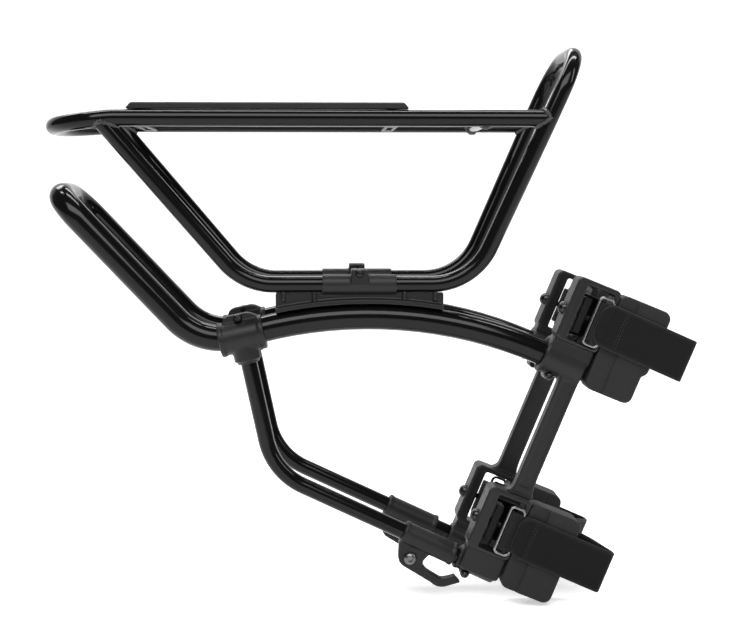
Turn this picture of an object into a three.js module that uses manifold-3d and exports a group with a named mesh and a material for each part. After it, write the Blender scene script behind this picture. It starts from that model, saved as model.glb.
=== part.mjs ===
// A bicycle rear rack that clamps to the seatstays with four straps.
// +X points forward, +Z up and Y across the bicycle. The origin lies in the middle plane, on the
// seatstay line, halfway between the upper and the lower clamps.
import * as THREE from 'three';
import { mergeVertices } from 'three/addons/utils/BufferGeometryUtils.js';
import Module from 'manifold-3d';

const wasm = await Module();
wasm.setup();

const V2 = THREE.Vector2;
const V3 = THREE.Vector3;
const radians = THREE.MathUtils.degToRad;

// Driving dimensions, in millimetres and degrees.

const gap = 0.3;

// How far a bend's chords may fall inside the true arc.
const sagitta = 0.2;

// The main tube: two arches over the wheel, joined behind by a U.
const mainRadius = 11.1;
const mainHalfWidth = 38;
const archCentre = new V2(-213.5, -246.5);
const archRadius = 374.3;
const archFrontAngle = 23.4;
const mainStraight = 37.5;
const elbowRadius = 52.4;
const elbowLowX = -337;
const rearLegSlope = 46.9;
const rearTipX = -473.8;
const rearTipBend = 27;

// The tubes of the deck frame and the lower struts share one size.
const smallRadius = 7;
const railHeight = 293.8;
const railHalfWidth = 54;
const railTipX = -479;
const railTipDrop = 5.5;
const cradleHeight = 155.6;
const cradleHalfWidth = 41;
const cradleBend = 53;
const cradleSplitX = -220;
const hoopSlope = 66;
const hoopFoot = new V2(-123.9, cradleHeight);
const hoopTopZ = 351;
const hoopBend = 36;
const hoopSpreadBend = 60;
const rearLegFoot = new V2(-317, cradleHeight);
const rearLegAngle = 49.6;
const crossBarX = -115;
const crossBarDrop = 2;
const crossBarRadius = 5;

const plateRearX = -413;
const plateFrontX = -178.3;
const plateThickness = 5.7;
const plateHalfWidth = 56;
const plateBevel = 5;
const plateScrewY = 34;
const plateScrewRearInset = 9;
const plateScrewFrontInset = 14;
const plateSlotHalfWidth = 14;
const plateSlotBridge = 14;
const plateSlotMargin = 40;
const plateScrewSize = { room: 2.3, sink: 2.4, sinkRadius: 4.6, head: 4.2, height: 2, shank: 2, socket: 1.5 };
const plateClampLength = 11;
const plateClampThickness = 10;
const plateClampRise = 3.5;
const plateClampReach = 51;

const saddleRearX = -290.8;
const saddleFrontX = -148.8;
const saddleLip = 4.2;
const saddleLipHalfWidth = 9;
const saddleWeb = 5;
const clampRearX = -251.6;
const clampFrontX = -188.4;
const clampWall = 1.6;
const clampSlit = 1;
const clampLugHalf = 7;
const clampLugReach = 9.5;
const clampLugRise = 13;
const clampScrewRise = 9.6;
const clampScrewSize = { room: 1.8, head: 3.2, height: 2.6, shank: 1.5, socket: 1.3 };

// The lower struts run from a socket under each collar to the lower sleeve.
const strutHalfWidth = 38;
const strutTop = new V2(-315.2, 95);
const strutCorner = new V2(-293.8, -6);
const strutBend = 57.5;
const strutSlope = 25.3;
const strutLength = 211;

const collarCentre = new V2(-319.6, 111.6);
const collarTilt = 12;
const collarLength = 39;
const collarWall = 2.7;
const flangeFoot = 4;
const flangeRear = -14;
const flangeFront = 16;
const flangeTopHalf = 8;
const flangeRise = 5.4;
const flangeHalfWidth = 4.2;
const socketWall = 2.4;
const socketReach = 6.5;
const skirtWall = 4.6;
const skirtReach = 4;
const socketRoot = 9;
const collarBoltRise = 1.8;
const collarBoltReach = 7;
const collarBoltSize = { room: 1.9, headRoom: 4.2, head: 3.8, height: 3.4, shank: 1.6, socket: 1.7 };

// The side brackets are drawn along the seatstay: forward is u and down the stay is v.
const stayTilt = 22.3;
const bracketHalfWidth = 44.5;
const frameDepth = 11.5;
const frameRearU = -94;
const frameFrontU = -55.5;
const frameRearBar = 9.5;
const frameFrontBar = 4.5;
const frameTopBar = 4.7;
const upperFrameV = -138;
const lowerFrameV = 55.1;
const frameHeight = 56;
const windowHeight = 48.5;
const upperSleeveRadius = 15.6;
const lowerSleeveRadius = 9.6;
const sleeveLength = 38;
const lugInset = 11.5;
const lugRadius = 4;
const lugHalfWidth = 9;
const armRearU = -75;
const armFrontU = -56;
const armHalfThickness = 6;
const armTopV = -72;
const armFlare = 9;
const pinchBoltSize = { room: 2, head: 3.4, height: 3.2, shank: 1.6, reach: 11, socket: 1.6 };

const padRearU = -55.2;
const padStepU = -39;
const padFrontU = -9;
const padHalfWidth = 14;
const padNeckHalfWidth = 12;
const padRound = 7;
const grooveRadius = 13;
const grooveU = 0.5;

// The strap loop, with the hook strip and the buckle ring behind it.
const strapWidth = 37;
const strapThickness = 2.4;
const strapInner = 14.8;
const strapTailU = -66.3;
const strapCentreV = 30.5;
const hookStripThickness = 1.8;
const hookStripFrontU = -46;
const ringWire = 1.3;
const ringHalfHeight = 20.2;
const ringRearU = -78;
const ringFrontU = -70;
const ringH = 11.2;
const carriageRearU = -81.5;
const carriageFrontU = -74.5;
const carriageHalfHeight = 16;
const screwRadius = 2.5;
const screwHead = 5.8;
const screwSocket = 2.3;
const screwTipU = -71;

// The hook clips on the struts, for the lower bar of a pannier frame.
const clipLength = 49;
const clipWall = 2.6;
const clipHalfThickness = 4.5;
const clipTipS = 64;
const clipBolt = new V2(15, -18.2);
const clipBoltSize = { room: 2.9, head: 5.8, height: 3.6, shank: 2.5, socket: 2.3 };
const clipSlit = 0.5;
const clipStations = { near: 123.5, far: 112 };

const sides = { near: -1, far: 1 };
const levels = {
  upper: { frameV: upperFrameV, padEndV: -52, foldU: 17 },
  lower: { frameV: lowerFrameV, padEndV: 133, foldU: 24 },
};

// Geometry helpers.

const unit = (degrees) => new V2(Math.cos(radians(degrees)), Math.sin(radians(degrees)));
const at = (point, y) => new V3(point.x, y, point.y);

// Point where two lines in the side view meet.
function meet(a, alongA, b, alongB) {
  const cross = alongA.x * alongB.y - alongA.y * alongB.x;
  const offset = b.clone().sub(a);
  const t = (offset.x * alongB.y - offset.y * alongB.x) / cross;
  return a.clone().addScaledVector(alongA, t);
}

// A path of straight runs with a round bend at each inner corner.
class BentPath extends THREE.Curve {
  constructor(corners, radii) {
    super();
    this.stations = [{ point: corners[0], tangent: corners[1].clone().sub(corners[0]).normalize() }];
    for (let i = 1; i < corners.length - 1; i += 1) {
      this.addBend(corners[i - 1], corners[i], corners[i + 1], radii[i - 1]);
    }
    const last = corners[corners.length - 1];
    this.stations.push({ point: last, tangent: last.clone().sub(corners[corners.length - 2]).normalize() });
  }

  addBend(before, corner, after, radius) {
    const into = corner.clone().sub(before).normalize();
    const out = after.clone().sub(corner).normalize();
    const turn = into.angleTo(out);
    const setback = radius * Math.tan(turn / 2);
    const inward = out.clone().sub(into.clone().multiplyScalar(into.dot(out))).normalize();
    const start = corner.clone().addScaledVector(into, -setback);
    const steps = Math.max(2, Math.ceil(turn / (2 * Math.acos(1 - sagitta / radius))));
    for (let i = 0; i <= steps; i += 1) {
      const angle = (turn * i) / steps;
      const point = start.clone().addScaledVector(into, radius * Math.sin(angle));
      point.addScaledVector(inward, radius * (1 - Math.cos(angle)));
      const tangent = into.clone().multiplyScalar(Math.cos(angle)).addScaledVector(inward, Math.sin(angle));
      this.stations.push({ point, tangent });
    }
  }

  getPointAt(t) {
    return this.stations[Math.round(t * (this.stations.length - 1))].point.clone();
  }

  getTangentAt(t) {
    return this.stations[Math.round(t * (this.stations.length - 1))].tangent.clone();
  }
}

function circleShape(radius, segments) {
  const points = Array.from({ length: segments }, (_, i) => {
    const angle = (2 * Math.PI * (i + 0.5)) / segments;
    return new V2(radius * Math.cos(angle), radius * Math.sin(angle));
  });
  return new THREE.Shape(points);
}

function bentTube(path, radius, segments) {
  return new THREE.ExtrudeGeometry(circleShape(radius, segments), {
    steps: path.stations.length - 1,
    extrudePath: path,
  });
}

// A round bar from one point to another.
function bar(from, to, radius, segments = 16) {
  const along = to.clone().sub(from);
  const geometry = new THREE.CylinderGeometry(radius, radius, along.length(), segments);
  const turn = new THREE.Quaternion().setFromUnitVectors(new V3(0, 1, 0), along.clone().normalize());
  geometry.applyQuaternion(turn);
  const middle = from.clone().add(to).multiplyScalar(0.5);
  return geometry.translate(middle.x, middle.y, middle.z);
}

// A slab drawn in the side view, x and z, spanning y0 to y1.
function slab(shape, y0, y1, curveSegments = 3) {
  const geometry = new THREE.ExtrudeGeometry(shape, { depth: y1 - y0, bevelEnabled: false, curveSegments });
  geometry.rotateX(Math.PI / 2);
  return geometry.translate(0, y1, 0);
}

// A block between two corners.
function block(x0, x1, y0, y1, z0, z1) {
  const geometry = new THREE.BoxGeometry(x1 - x0, y1 - y0, z1 - z0);
  return geometry.translate((x0 + x1) / 2, (y0 + y1) / 2, (z0 + z1) / 2);
}

// A four-sided outline with its corners rounded.
function roundedRectangle(x0, x1, y0, y1, radius) {
  const shape = new THREE.Shape();
  shape.moveTo(x0 + radius, y0);
  shape.lineTo(x1 - radius, y0);
  shape.absarc(x1 - radius, y0 + radius, radius, -Math.PI / 2, 0);
  shape.lineTo(x1, y1 - radius);
  shape.absarc(x1 - radius, y1 - radius, radius, 0, Math.PI / 2);
  shape.lineTo(x0 + radius, y1);
  shape.absarc(x0 + radius, y1 - radius, radius, Math.PI / 2, Math.PI);
  shape.lineTo(x0, y0 + radius);
  shape.absarc(x0 + radius, y0 + radius, radius, Math.PI, 1.5 * Math.PI);
  return shape;
}

function solid(geometry) {
  const bare = geometry.clone();
  bare.deleteAttribute('normal');
  bare.deleteAttribute('uv');
  const merged = mergeVertices(bare, 1e-4);
  return new wasm.Manifold(new wasm.Mesh({
    numProp: 3,
    vertProperties: new Float32Array(merged.attributes.position.array),
    triVerts: new Uint32Array(merged.index.array),
  }));
}

function toGeometry(manifold) {
  const mesh = manifold.getMesh();
  const geometry = new THREE.BufferGeometry();
  geometry.setAttribute('position', new THREE.BufferAttribute(mesh.vertProperties, 3));
  geometry.setIndex(new THREE.BufferAttribute(mesh.triVerts, 1));
  return geometry;
}

// The same piece on the other side of the middle plane.
function mirrored(geometry) {
  const copy = geometry.clone().scale(1, -1, 1);
  const order = copy.index.array;
  for (let i = 0; i < order.length; i += 3) {
    [order[i], order[i + 1]] = [order[i + 1], order[i]];
  }
  return copy;
}

const join = (...geometries) => geometries.map(solid).reduce((whole, piece) => whole.add(piece));
const cut = (whole, ...tools) => tools.map(solid).reduce((rest, tool) => rest.subtract(tool), whole);

// The biggest body left after a cut.
function largest(manifold) {
  return manifold.decompose().sort((a, b) => b.volume() - a.volume())[0];
}

// A screw along the bar's axis: a round head with a hexagon socket on the seat, and a shank below it.
function screw(seat, out, size, reach) {
  const along = (distance) => seat.clone().addScaledVector(out, distance);
  const head = bar(along(0), along(size.height), size.head, 18);
  const shank = bar(along(-reach), along(1), size.shank, 12);
  const socket = bar(along(size.height * 0.4), along(size.height + 1), size.socket, 6);
  return cut(join(head, shank), socket);
}

// Materials.

const paint = { color: 0x101011, roughness: 0.22, metalness: 0 };
const plastic = { color: 0x2b2b2d, roughness: 0.5, metalness: 0 };
const rubber = { color: 0x4a4b4d, roughness: 0.75, metalness: 0 };
const webbing = { color: 0x1c1c1e, roughness: 0.95, metalness: 0 };
const steel = { color: 0x8d8d90, roughness: 0.3, metalness: 1 };
const blackSteel = { color: 0x222224, roughness: 0.35, metalness: 0.8 };

const rack = new THREE.Group();

function place(name, shape, look, parent = rack) {
  const geometry = shape.isBufferGeometry ? shape : toGeometry(shape);
  const mesh = new THREE.Mesh(geometry, new THREE.MeshStandardMaterial(look));
  mesh.name = name;
  parent.add(mesh);
}

// Main tube.

const elbowCentre = (() => {
  const reach = archRadius + elbowRadius;
  const dx = elbowLowX - archCentre.x;
  return new V2(elbowLowX, archCentre.y + Math.sqrt(reach * reach - dx * dx));
})();
const archRearSine = (archCentre.x - elbowCentre.x) / (archRadius + elbowRadius);
const archRearAngle = THREE.MathUtils.radToDeg(Math.asin(archRearSine));
const archPoint = (angle) => archCentre.clone().addScaledVector(unit(90 - angle), archRadius);
const rearLegAlong = unit(-rearLegSlope);
const legPoint = elbowCentre.clone().addScaledVector(unit(-90 - rearLegSlope), elbowRadius);
const elbowCorner = meet(legPoint, rearLegAlong, archPoint(-archRearAngle), unit(archRearAngle));
const archCorner = meet(elbowCorner, unit(archRearAngle), archPoint(archFrontAngle), unit(-archFrontAngle));
const mainAlong = unit(-archFrontAngle);
const mainEnd = archPoint(archFrontAngle).addScaledVector(mainAlong, mainStraight);
const rearTip = meet(legPoint, rearLegAlong, new V2(rearTipX, 0), unit(90));

function mainPath() {
  const half = [mainEnd, archCorner, elbowCorner, rearTip];
  const near = half.map((point) => at(point, -mainHalfWidth));
  const far = half.map((point) => at(point, mainHalfWidth)).reverse();
  const bends = [archRadius, elbowRadius, rearTipBend];
  return new BentPath([...near, ...far], [...bends, ...bends.slice().reverse()]);
}

const mainSegments = 14;
const mainTube = bentTube(mainPath(), mainRadius, mainSegments);
const mainClearance = bentTube(mainPath(), mainRadius + gap, mainSegments);
place('main_tube', mainTube, paint);

// Deck frame: rails, hoop and rear legs.

const railFrontX = hoopFoot.x + (railHeight - hoopFoot.y) / Math.tan(radians(hoopSlope));

function railPath() {
  const noseX = railTipX + railHalfWidth;
  const near = [new V3(railFrontX, -railHalfWidth, railHeight), new V3(noseX, -railHalfWidth, railHeight)];
  const tipZ = railHeight - railTipDrop;
  const corners = [
    ...near,
    new V3(railTipX, -railHalfWidth, tipZ),
    new V3(railTipX, railHalfWidth, tipZ),
    ...near.slice().reverse().map((point) => new V3(point.x, railHalfWidth, point.z)),
  ];
  return new BentPath(corners, [100, railHalfWidth - 6, railHalfWidth - 6, 100]);
}

// The hoop legs spread from the cradle's width to the rails' width.
function hoopPath() {
  const along = unit(hoopSlope);
  const topX = hoopFoot.x + (hoopTopZ - hoopFoot.y) * (along.x / along.y);
  const leg = (y) => [
    new V3(cradleSplitX + gap, Math.sign(y) * cradleHalfWidth, cradleHeight),
    new V3(hoopFoot.x, Math.sign(y) * cradleHalfWidth, cradleHeight),
    new V3(railFrontX, y, railHeight),
    new V3(topX, y, hoopTopZ),
  ];
  const corners = [...leg(-railHalfWidth), ...leg(railHalfWidth).reverse()];
  const half = [cradleBend, hoopSpreadBend, hoopBend];
  return new BentPath(corners, [...half, ...half.slice().reverse()]);
}

function rearLegPath(side) {
  const along = unit(-rearLegAngle);
  const topZ = railHeight - 2;
  const top = rearLegFoot.x + (topZ - rearLegFoot.y) * (along.x / along.y);
  const corners = [
    new V3(top, side * (railHalfWidth - 1.5), topZ),
    new V3(rearLegFoot.x, side * cradleHalfWidth, cradleHeight),
    new V3(cradleSplitX - gap, side * cradleHalfWidth, cradleHeight),
  ];
  return new BentPath(corners, [cradleBend]);
}

const smallSegments = 12;
const hoop = bentTube(hoopPath(), smallRadius, smallSegments);
const hoopClearance = bentTube(hoopPath(), smallRadius + gap, smallSegments);
const rail = bentTube(railPath(), smallRadius, smallSegments);
const railClearance = bentTube(railPath(), smallRadius + gap, smallSegments);
place('front_hoop', hoop, paint);
place('rail_loop', largest(cut(solid(rail), hoopClearance)), paint);

Object.entries(sides).forEach(([name, side]) => {
  const leg = bentTube(rearLegPath(side), smallRadius, smallSegments);
  place(`rear_leg_${name}`, largest(cut(solid(leg), railClearance)), paint);
});

const crossBarEnd = (side) => new V3(crossBarX, side * railHalfWidth, railHeight - crossBarDrop);
const crossBar = bar(crossBarEnd(-1), crossBarEnd(1), crossBarRadius, smallSegments);
place('cross_bar', largest(cut(solid(crossBar), railClearance)), paint);

// Bag plate on the rails.

const plateBottom = railHeight + smallRadius + gap;
const plateTop = plateBottom + plateThickness;
const plateScrewXs = {
  rear: plateRearX + plateScrewRearInset,
  front: plateFrontX - plateScrewFrontInset,
};

function bagPlate() {
  const profile = new THREE.Shape();
  profile.moveTo(plateRearX, plateBottom);
  profile.lineTo(plateFrontX, plateBottom);
  profile.lineTo(plateFrontX - plateBevel, plateTop);
  profile.lineTo(plateRearX + plateBevel, plateTop);
  const tools = [];
  const { room, sink, sinkRadius } = plateScrewSize;
  Object.values(plateScrewXs).forEach((x) => {
    [-plateScrewY, plateScrewY].forEach((y) => {
      tools.push(bar(new V3(x, y, plateBottom - 1), new V3(x, y, plateTop + 1), room, 12));
      tools.push(bar(new V3(x, y, plateTop - sink), new V3(x, y, plateTop + 1), sinkRadius, 12));
    });
  });
  const slotLength = (plateFrontX - plateRearX) / 2 - plateSlotMargin;
  [-1, 1].forEach((end) => {
    const middle = (plateFrontX + plateRearX) / 2 + (end * (slotLength + plateSlotBridge)) / 2;
    const x0 = middle - slotLength / 2;
    const width = plateSlotHalfWidth;
    tools.push(block(x0, x0 + slotLength, -width, width, plateBottom - 1, plateTop + 1));
  });
  return cut(solid(slab(profile, -plateHalfWidth, plateHalfWidth)), ...tools);
}
place('bag_plate', bagPlate(), plastic);

// A bar between the rails, its hollowed ends drawn up under them by two screws.
const clampTop = railHeight + plateClampRise;
const clampBottom = clampTop - plateClampThickness;
Object.entries(plateScrewXs).forEach(([end, x]) => {
  const length = plateClampLength / 2;
  const reach = plateClampReach;
  const clamp = block(x - length, x + length, -reach, reach, clampBottom, clampTop);
  const rooms = [-plateScrewY, plateScrewY].map((y) => (
    bar(new V3(x, y, clampBottom - 1), new V3(x, y, clampTop + 1), plateScrewSize.shank + gap, 12)
  ));
  place(`plate_clamp_${end}`, largest(cut(solid(clamp), railClearance, ...rooms)), plastic);
});

// A button-head screw down through the plate into its clamp bar.
function plateScrew(x, y) {
  const seat = plateTop - plateScrewSize.sink + gap;
  return screw(new V3(x, y, seat), new V3(0, 0, 1), plateScrewSize, seat - clampBottom);
}
Object.entries(plateScrewXs).forEach(([end, x]) => {
  Object.entries(sides).forEach(([name, side]) => {
    place(`plate_screw_${end}_${name}`, plateScrew(x, side * plateScrewY), blackSteel);
  });
});

// Saddles that carry the cradle on the arches.

function saddle(side) {
  const lipRadius = archRadius + mainRadius + gap;
  const angleOf = (x, radius) => Math.asin((x - archCentre.x) / radius);
  const arcPoints = (radius, from, to, steps) => Array.from({ length: steps + 1 }, (_, i) => {
    const angle = angleOf(from, radius) + ((angleOf(to, radius) - angleOf(from, radius)) * i) / steps;
    return new V2(archCentre.x + radius * Math.sin(angle), archCentre.y + radius * Math.cos(angle));
  });
  const lipShape = new THREE.Shape([
    ...arcPoints(lipRadius, saddleRearX, saddleFrontX, 8),
    ...arcPoints(lipRadius + saddleLip, saddleFrontX, saddleRearX, 8),
  ]);
  const webShape = new THREE.Shape([
    ...arcPoints(lipRadius + saddleLip / 2, saddleRearX, saddleFrontX, 8),
    new V2(saddleFrontX, cradleHeight - 1),
    new V2(saddleRearX, cradleHeight - 1),
  ]);
  const lipY = side * (mainHalfWidth + 1);
  const webY = side * cradleHalfWidth;
  const lip = slab(lipShape, lipY - saddleLipHalfWidth, lipY + saddleLipHalfWidth);
  const web = slab(webShape, webY - saddleWeb / 2, webY + saddleWeb / 2);
  const clampEnds = [clampRearX, clampFrontX].map((x) => new V3(x, webY, cradleHeight));
  const sleeve = bar(clampEnds[0], clampEnds[1], smallRadius + clampWall, 16);
  const lugs = block(
    cradleSplitX - clampLugHalf,
    cradleSplitX + clampLugHalf,
    webY - clampLugReach,
    webY + clampLugReach,
    cradleHeight - 1,
    cradleHeight + clampLugRise,
  );
  const tubeRoom = bar(
    new V3(saddleRearX - 20, webY, cradleHeight),
    new V3(saddleFrontX + 20, webY, cradleHeight),
    smallRadius + gap,
    smallSegments,
  );
  const slit = block(
    clampRearX - 1,
    clampFrontX + 1,
    webY - clampSlit,
    webY + clampSlit,
    cradleHeight,
    cradleHeight + 20,
  );
  const screwZ = cradleHeight + clampScrewRise;
  const screwRoom = bar(
    new V3(cradleSplitX, webY - 20, screwZ),
    new V3(cradleSplitX, webY + 20, screwZ),
    clampScrewSize.room,
    10,
  );
  return largest(cut(join(lip, web, sleeve, lugs), tubeRoom, slit, screwRoom));
}

function clampScrew(side) {
  const seatY = side * (cradleHalfWidth + clampLugReach + gap);
  const seat = new V3(cradleSplitX, seatY, cradleHeight + clampScrewRise);
  return screw(seat, new V3(0, side, 0), clampScrewSize, 2 * clampLugReach);
}

Object.entries(sides).forEach(([name, side]) => {
  place(`saddle_${name}`, saddle(side), plastic);
  place(`saddle_screw_${name}`, clampScrew(side), blackSteel);
});

// Lower struts.

const strutAlong = unit(-strutSlope);
const strutEnd = strutCorner.clone().addScaledVector(strutAlong, strutLength);
const strutDown = strutCorner.clone().sub(strutTop).normalize();

function strutPath(y) {
  return new BentPath([strutTop, strutCorner, strutEnd].map((point) => at(point, y)), [strutBend]);
}
Object.entries(sides).forEach(([name, side]) => {
  place(`lower_strut_${name}`, bentTube(strutPath(side * strutHalfWidth), smallRadius, smallSegments), paint);
});

// Collars that hang the struts from the main tube.

function collarHalves(side) {
  const y = side * mainHalfWidth;
  const radius = mainRadius + collarWall;
  const along = unit(collarTilt);
  const up = unit(collarTilt + 90);
  const spot = (a, rise) => collarCentre.clone().addScaledVector(along, a).addScaledVector(up, rise);
  const shellEnds = [-1, 1].map((end) => at(spot((end * collarLength) / 2, 0), y));
  const shell = bar(shellEnds[0], shellEnds[1], radius, 18);
  const flangeTop = radius + flangeRise;
  const flange = new THREE.Shape([
    spot(flangeRear, flangeFoot),
    spot(flangeFront, flangeFoot),
    spot(flangeFront, radius + 1),
    spot(flangeTopHalf, flangeTop),
    spot(-flangeTopHalf, flangeTop),
    spot(flangeRear, radius + 1),
  ]);
  const flangeSlab = slab(flange, y - flangeHalfWidth, y + flangeHalfWidth);
  const onStrut = (distance) => at(strutTop.clone().addScaledVector(strutDown, distance), y);
  const socket = bar(onStrut(-socketRoot), onStrut(socketReach), smallRadius + socketWall, 12);
  const skirt = bar(onStrut(-socketRoot), onStrut(skirtReach), smallRadius + skirtWall, 12);
  const strutRoom = bar(onStrut(-gap), onStrut(40), smallRadius + gap, smallSegments);
  const boltAt = spot(0, radius + collarBoltRise);
  const { room, headRoom } = collarBoltSize;
  const boltRoom = bar(at(boltAt, y - 12), at(boltAt, y + 12), room, 10);
  const spotFace = bar(at(boltAt, y + side * flangeHalfWidth), at(boltAt, y + side * 20), headRoom, 16);
  const whole = cut(join(shell, flangeSlab, socket, skirt), mainClearance, strutRoom, boltRoom, spotFace);
  const reach = 60;
  const around = (y0, y1) => block(
    collarCentre.x - reach,
    collarCentre.x + reach,
    Math.min(y0, y1),
    Math.max(y0, y1),
    collarCentre.y - reach,
    collarCentre.y + reach,
  );
  const outerSide = around(y, y + side * reach);
  const innerSide = around(y, y - side * reach);
  const split = cut(whole, around(y - gap / 2, y + gap / 2));
  return {
    outer: largest(split.intersect(solid(outerSide))),
    inner: largest(split.intersect(solid(innerSide))),
    boltAt,
  };
}

function collarBolt(boltAt, side) {
  const seat = at(boltAt, side * (mainHalfWidth + flangeHalfWidth + gap));
  return screw(seat, new V3(0, side, 0), collarBoltSize, flangeHalfWidth + collarBoltReach);
}

Object.entries(sides).forEach(([name, side]) => {
  const collar = collarHalves(side);
  place(`collar_outer_${name}`, collar.outer, plastic);
  place(`collar_inner_${name}`, collar.inner, plastic);
  place(`collar_bolt_${name}`, collarBolt(collar.boltAt, side), blackSteel);
});

// The clamp frame of reference: u forward, v down the stay.

const stayTurn = radians(stayTilt);
const uAxis = new V2(Math.cos(stayTurn), -Math.sin(stayTurn));
const vAxis = new V2(-Math.sin(stayTurn), -Math.cos(stayTurn));
const stay = (u, v) => uAxis.clone().multiplyScalar(u).addScaledVector(vAxis, v);

// Turns a solid drawn with x as u and z as -v into the rack's frame.
function toStay(geometry) {
  return geometry.rotateY(stayTurn);
}

// Side brackets.

function frameParts(frameV, y) {
  const outline = roundedRectangle(frameRearU, frameFrontU, -frameV - frameHeight, -frameV, 4);
  const windowLow = -frameV - frameTopBar - windowHeight;
  const window = roundedRectangle(
    frameRearU + frameRearBar,
    frameFrontU - frameFrontBar,
    windowLow,
    -frameV - frameTopBar,
    1.5,
  );
  const screwV = frameV + strapCentreV;
  return {
    body: toStay(slab(outline, y - frameDepth, y + frameDepth)),
    window: toStay(slab(window, y - frameDepth - 1, y + frameDepth + 1)),
    screwRoom: toStay(bar(
      new V3(frameRearU - 1, y, -screwV),
      new V3(frameRearU + frameRearBar + 1, y, -screwV),
      screwRadius + gap,
      12,
    )),
  };
}

// The arm joins the upper sleeve to the lower frame and flares into both.
function armShape() {
  const top = armTopV;
  const low = lowerFrameV + 4;
  const shape = new THREE.Shape();
  shape.moveTo(armFrontU, -top);
  shape.lineTo(armFrontU, -low);
  shape.lineTo(frameRearU + armFlare, -low);
  shape.lineTo(frameRearU + armFlare, -lowerFrameV);
  shape.quadraticCurveTo(armRearU, -lowerFrameV, armRearU, -lowerFrameV + armFlare);
  shape.lineTo(armRearU, -top - 22);
  shape.quadraticCurveTo(armRearU, -top - 6, armRearU - 8, -top);
  return shape;
}

// A straight sleeve over a tube end, closed at its front.
function sleeveParts(end, along, tubeRadius, radius, y, segments) {
  const rear = end.clone().addScaledVector(along, 2 - sleeveLength);
  const front = end.clone().addScaledVector(along, 2);
  const lugAcross = new V2(along.y, -along.x);
  const lugAt = rear.clone().addScaledVector(along, lugInset);
  lugAt.addScaledVector(lugAcross, radius + 0.2);
  return {
    body: bar(at(rear, y), at(front, y), radius, 20),
    room: bar(
      at(end.clone().addScaledVector(along, -80), y),
      at(end.clone().addScaledVector(along, gap), y),
      tubeRadius + gap,
      segments,
    ),
    lug: bar(at(lugAt, y - lugHalfWidth), at(lugAt, y + lugHalfWidth), lugRadius, 10),
    boltRoom: bar(at(lugAt, y - 20), at(lugAt, y + 20), pinchBoltSize.room, 10),
    bolt: at(lugAt, y),
  };
}

const sleeves = {
  upper: (y) => sleeveParts(mainEnd, mainAlong, mainRadius, upperSleeveRadius, y, 16),
  lower: (y) => sleeveParts(strutEnd, strutAlong, smallRadius, lowerSleeveRadius, y, 12),
};

function sideBracket(side) {
  const y = side * bracketHalfWidth;
  const tubeY = side * mainHalfWidth;
  const upperFrame = frameParts(upperFrameV, y);
  const lowerFrame = frameParts(lowerFrameV, y);
  const upperSleeve = sleeves.upper(tubeY);
  const lowerSleeve = sleeves.lower(side * strutHalfWidth);
  const arm = toStay(slab(armShape(), y - armHalfThickness, y + armHalfThickness));
  const pocketFace = y + side * armHalfThickness;
  const pocketY = [pocketFace - side * 1.4, pocketFace + side].sort((a, b) => a - b);
  const pocketShape = roundedRectangle(armRearU + 2.6, armFrontU - 2.6, -34, 40, 3);
  const pocket = toStay(slab(pocketShape, pocketY[0], pocketY[1]));
  const blockY = side * (bracketHalfWidth - 1.5);
  const blockDepth = frameDepth - 2;
  const lowerBlock = toStay(slab(
    roundedRectangle(frameRearU + 2, frameFrontU - 1, -lowerFrameV - 77, -lowerFrameV - 52, 3),
    blockY - blockDepth,
    blockY + blockDepth,
  ));
  const upperBlock = toStay(slab(
    roundedRectangle(frameRearU + 1, frameFrontU - 1, -upperFrameV - 70, -upperFrameV - 50, 2),
    blockY - blockDepth,
    blockY + blockDepth,
  ));
  const body = join(
    upperFrame.body,
    lowerFrame.body,
    upperBlock,
    upperSleeve.body,
    upperSleeve.lug,
    lowerBlock,
    lowerSleeve.body,
    lowerSleeve.lug,
    arm,
  );
  return largest(cut(
    body,
    upperFrame.window,
    lowerFrame.window,
    upperFrame.screwRoom,
    lowerFrame.screwRoom,
    upperSleeve.room,
    lowerSleeve.room,
    upperSleeve.boltRoom,
    lowerSleeve.boltRoom,
    pocket,
  ));
}

function pinchBolt(middle, side) {
  const out = new V3(0, side, 0);
  const seat = middle.clone().addScaledVector(out, lugHalfWidth + gap);
  return screw(seat, out, pinchBoltSize, lugHalfWidth + pinchBoltSize.reach);
}

// Seatstay pads.

function pad(frameV, endV, y) {
  const outline = roundedRectangle(padRearU, padFrontU, -endV, -frameV - 1, padRound);
  const body = toStay(slab(outline, y - padHalfWidth, y + padHalfWidth));
  const tools = [-1, 1].map((face) => {
    const faces = [y + face * padNeckHalfWidth, y + face * (padHalfWidth + 1)].sort((a, b) => a - b);
    return toStay(block(padRearU - 1, padStepU, faces[0], faces[1], -endV - 1, -frameV + 1));
  });
  const grooveEnds = [-endV - 5, -frameV + 5].map((z) => new V3(grooveU, y, z));
  const groove = toStay(bar(grooveEnds[0], grooveEnds[1], grooveRadius, 20));
  return cut(solid(body), ...tools, groove);
}

// Strap, hook strip, buckle ring, carriage and tension screw.

// A strip drawn in the u and h plane, where h is the distance out from the bracket's middle.
function acrossStay(shape, centreV, halfWidth, y, side, curveSegments = 6) {
  const depth = 2 * halfWidth;
  const geometry = new THREE.ExtrudeGeometry(shape, { depth, bevelEnabled: false, curveSegments });
  geometry.translate(0, 0, -halfWidth - centreV);
  if (side < 0) {
    geometry.rotateX(Math.PI);
    geometry.translate(0, 0, -2 * centreV);
  }
  geometry.translate(0, y, 0);
  return toStay(geometry);
}

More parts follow.
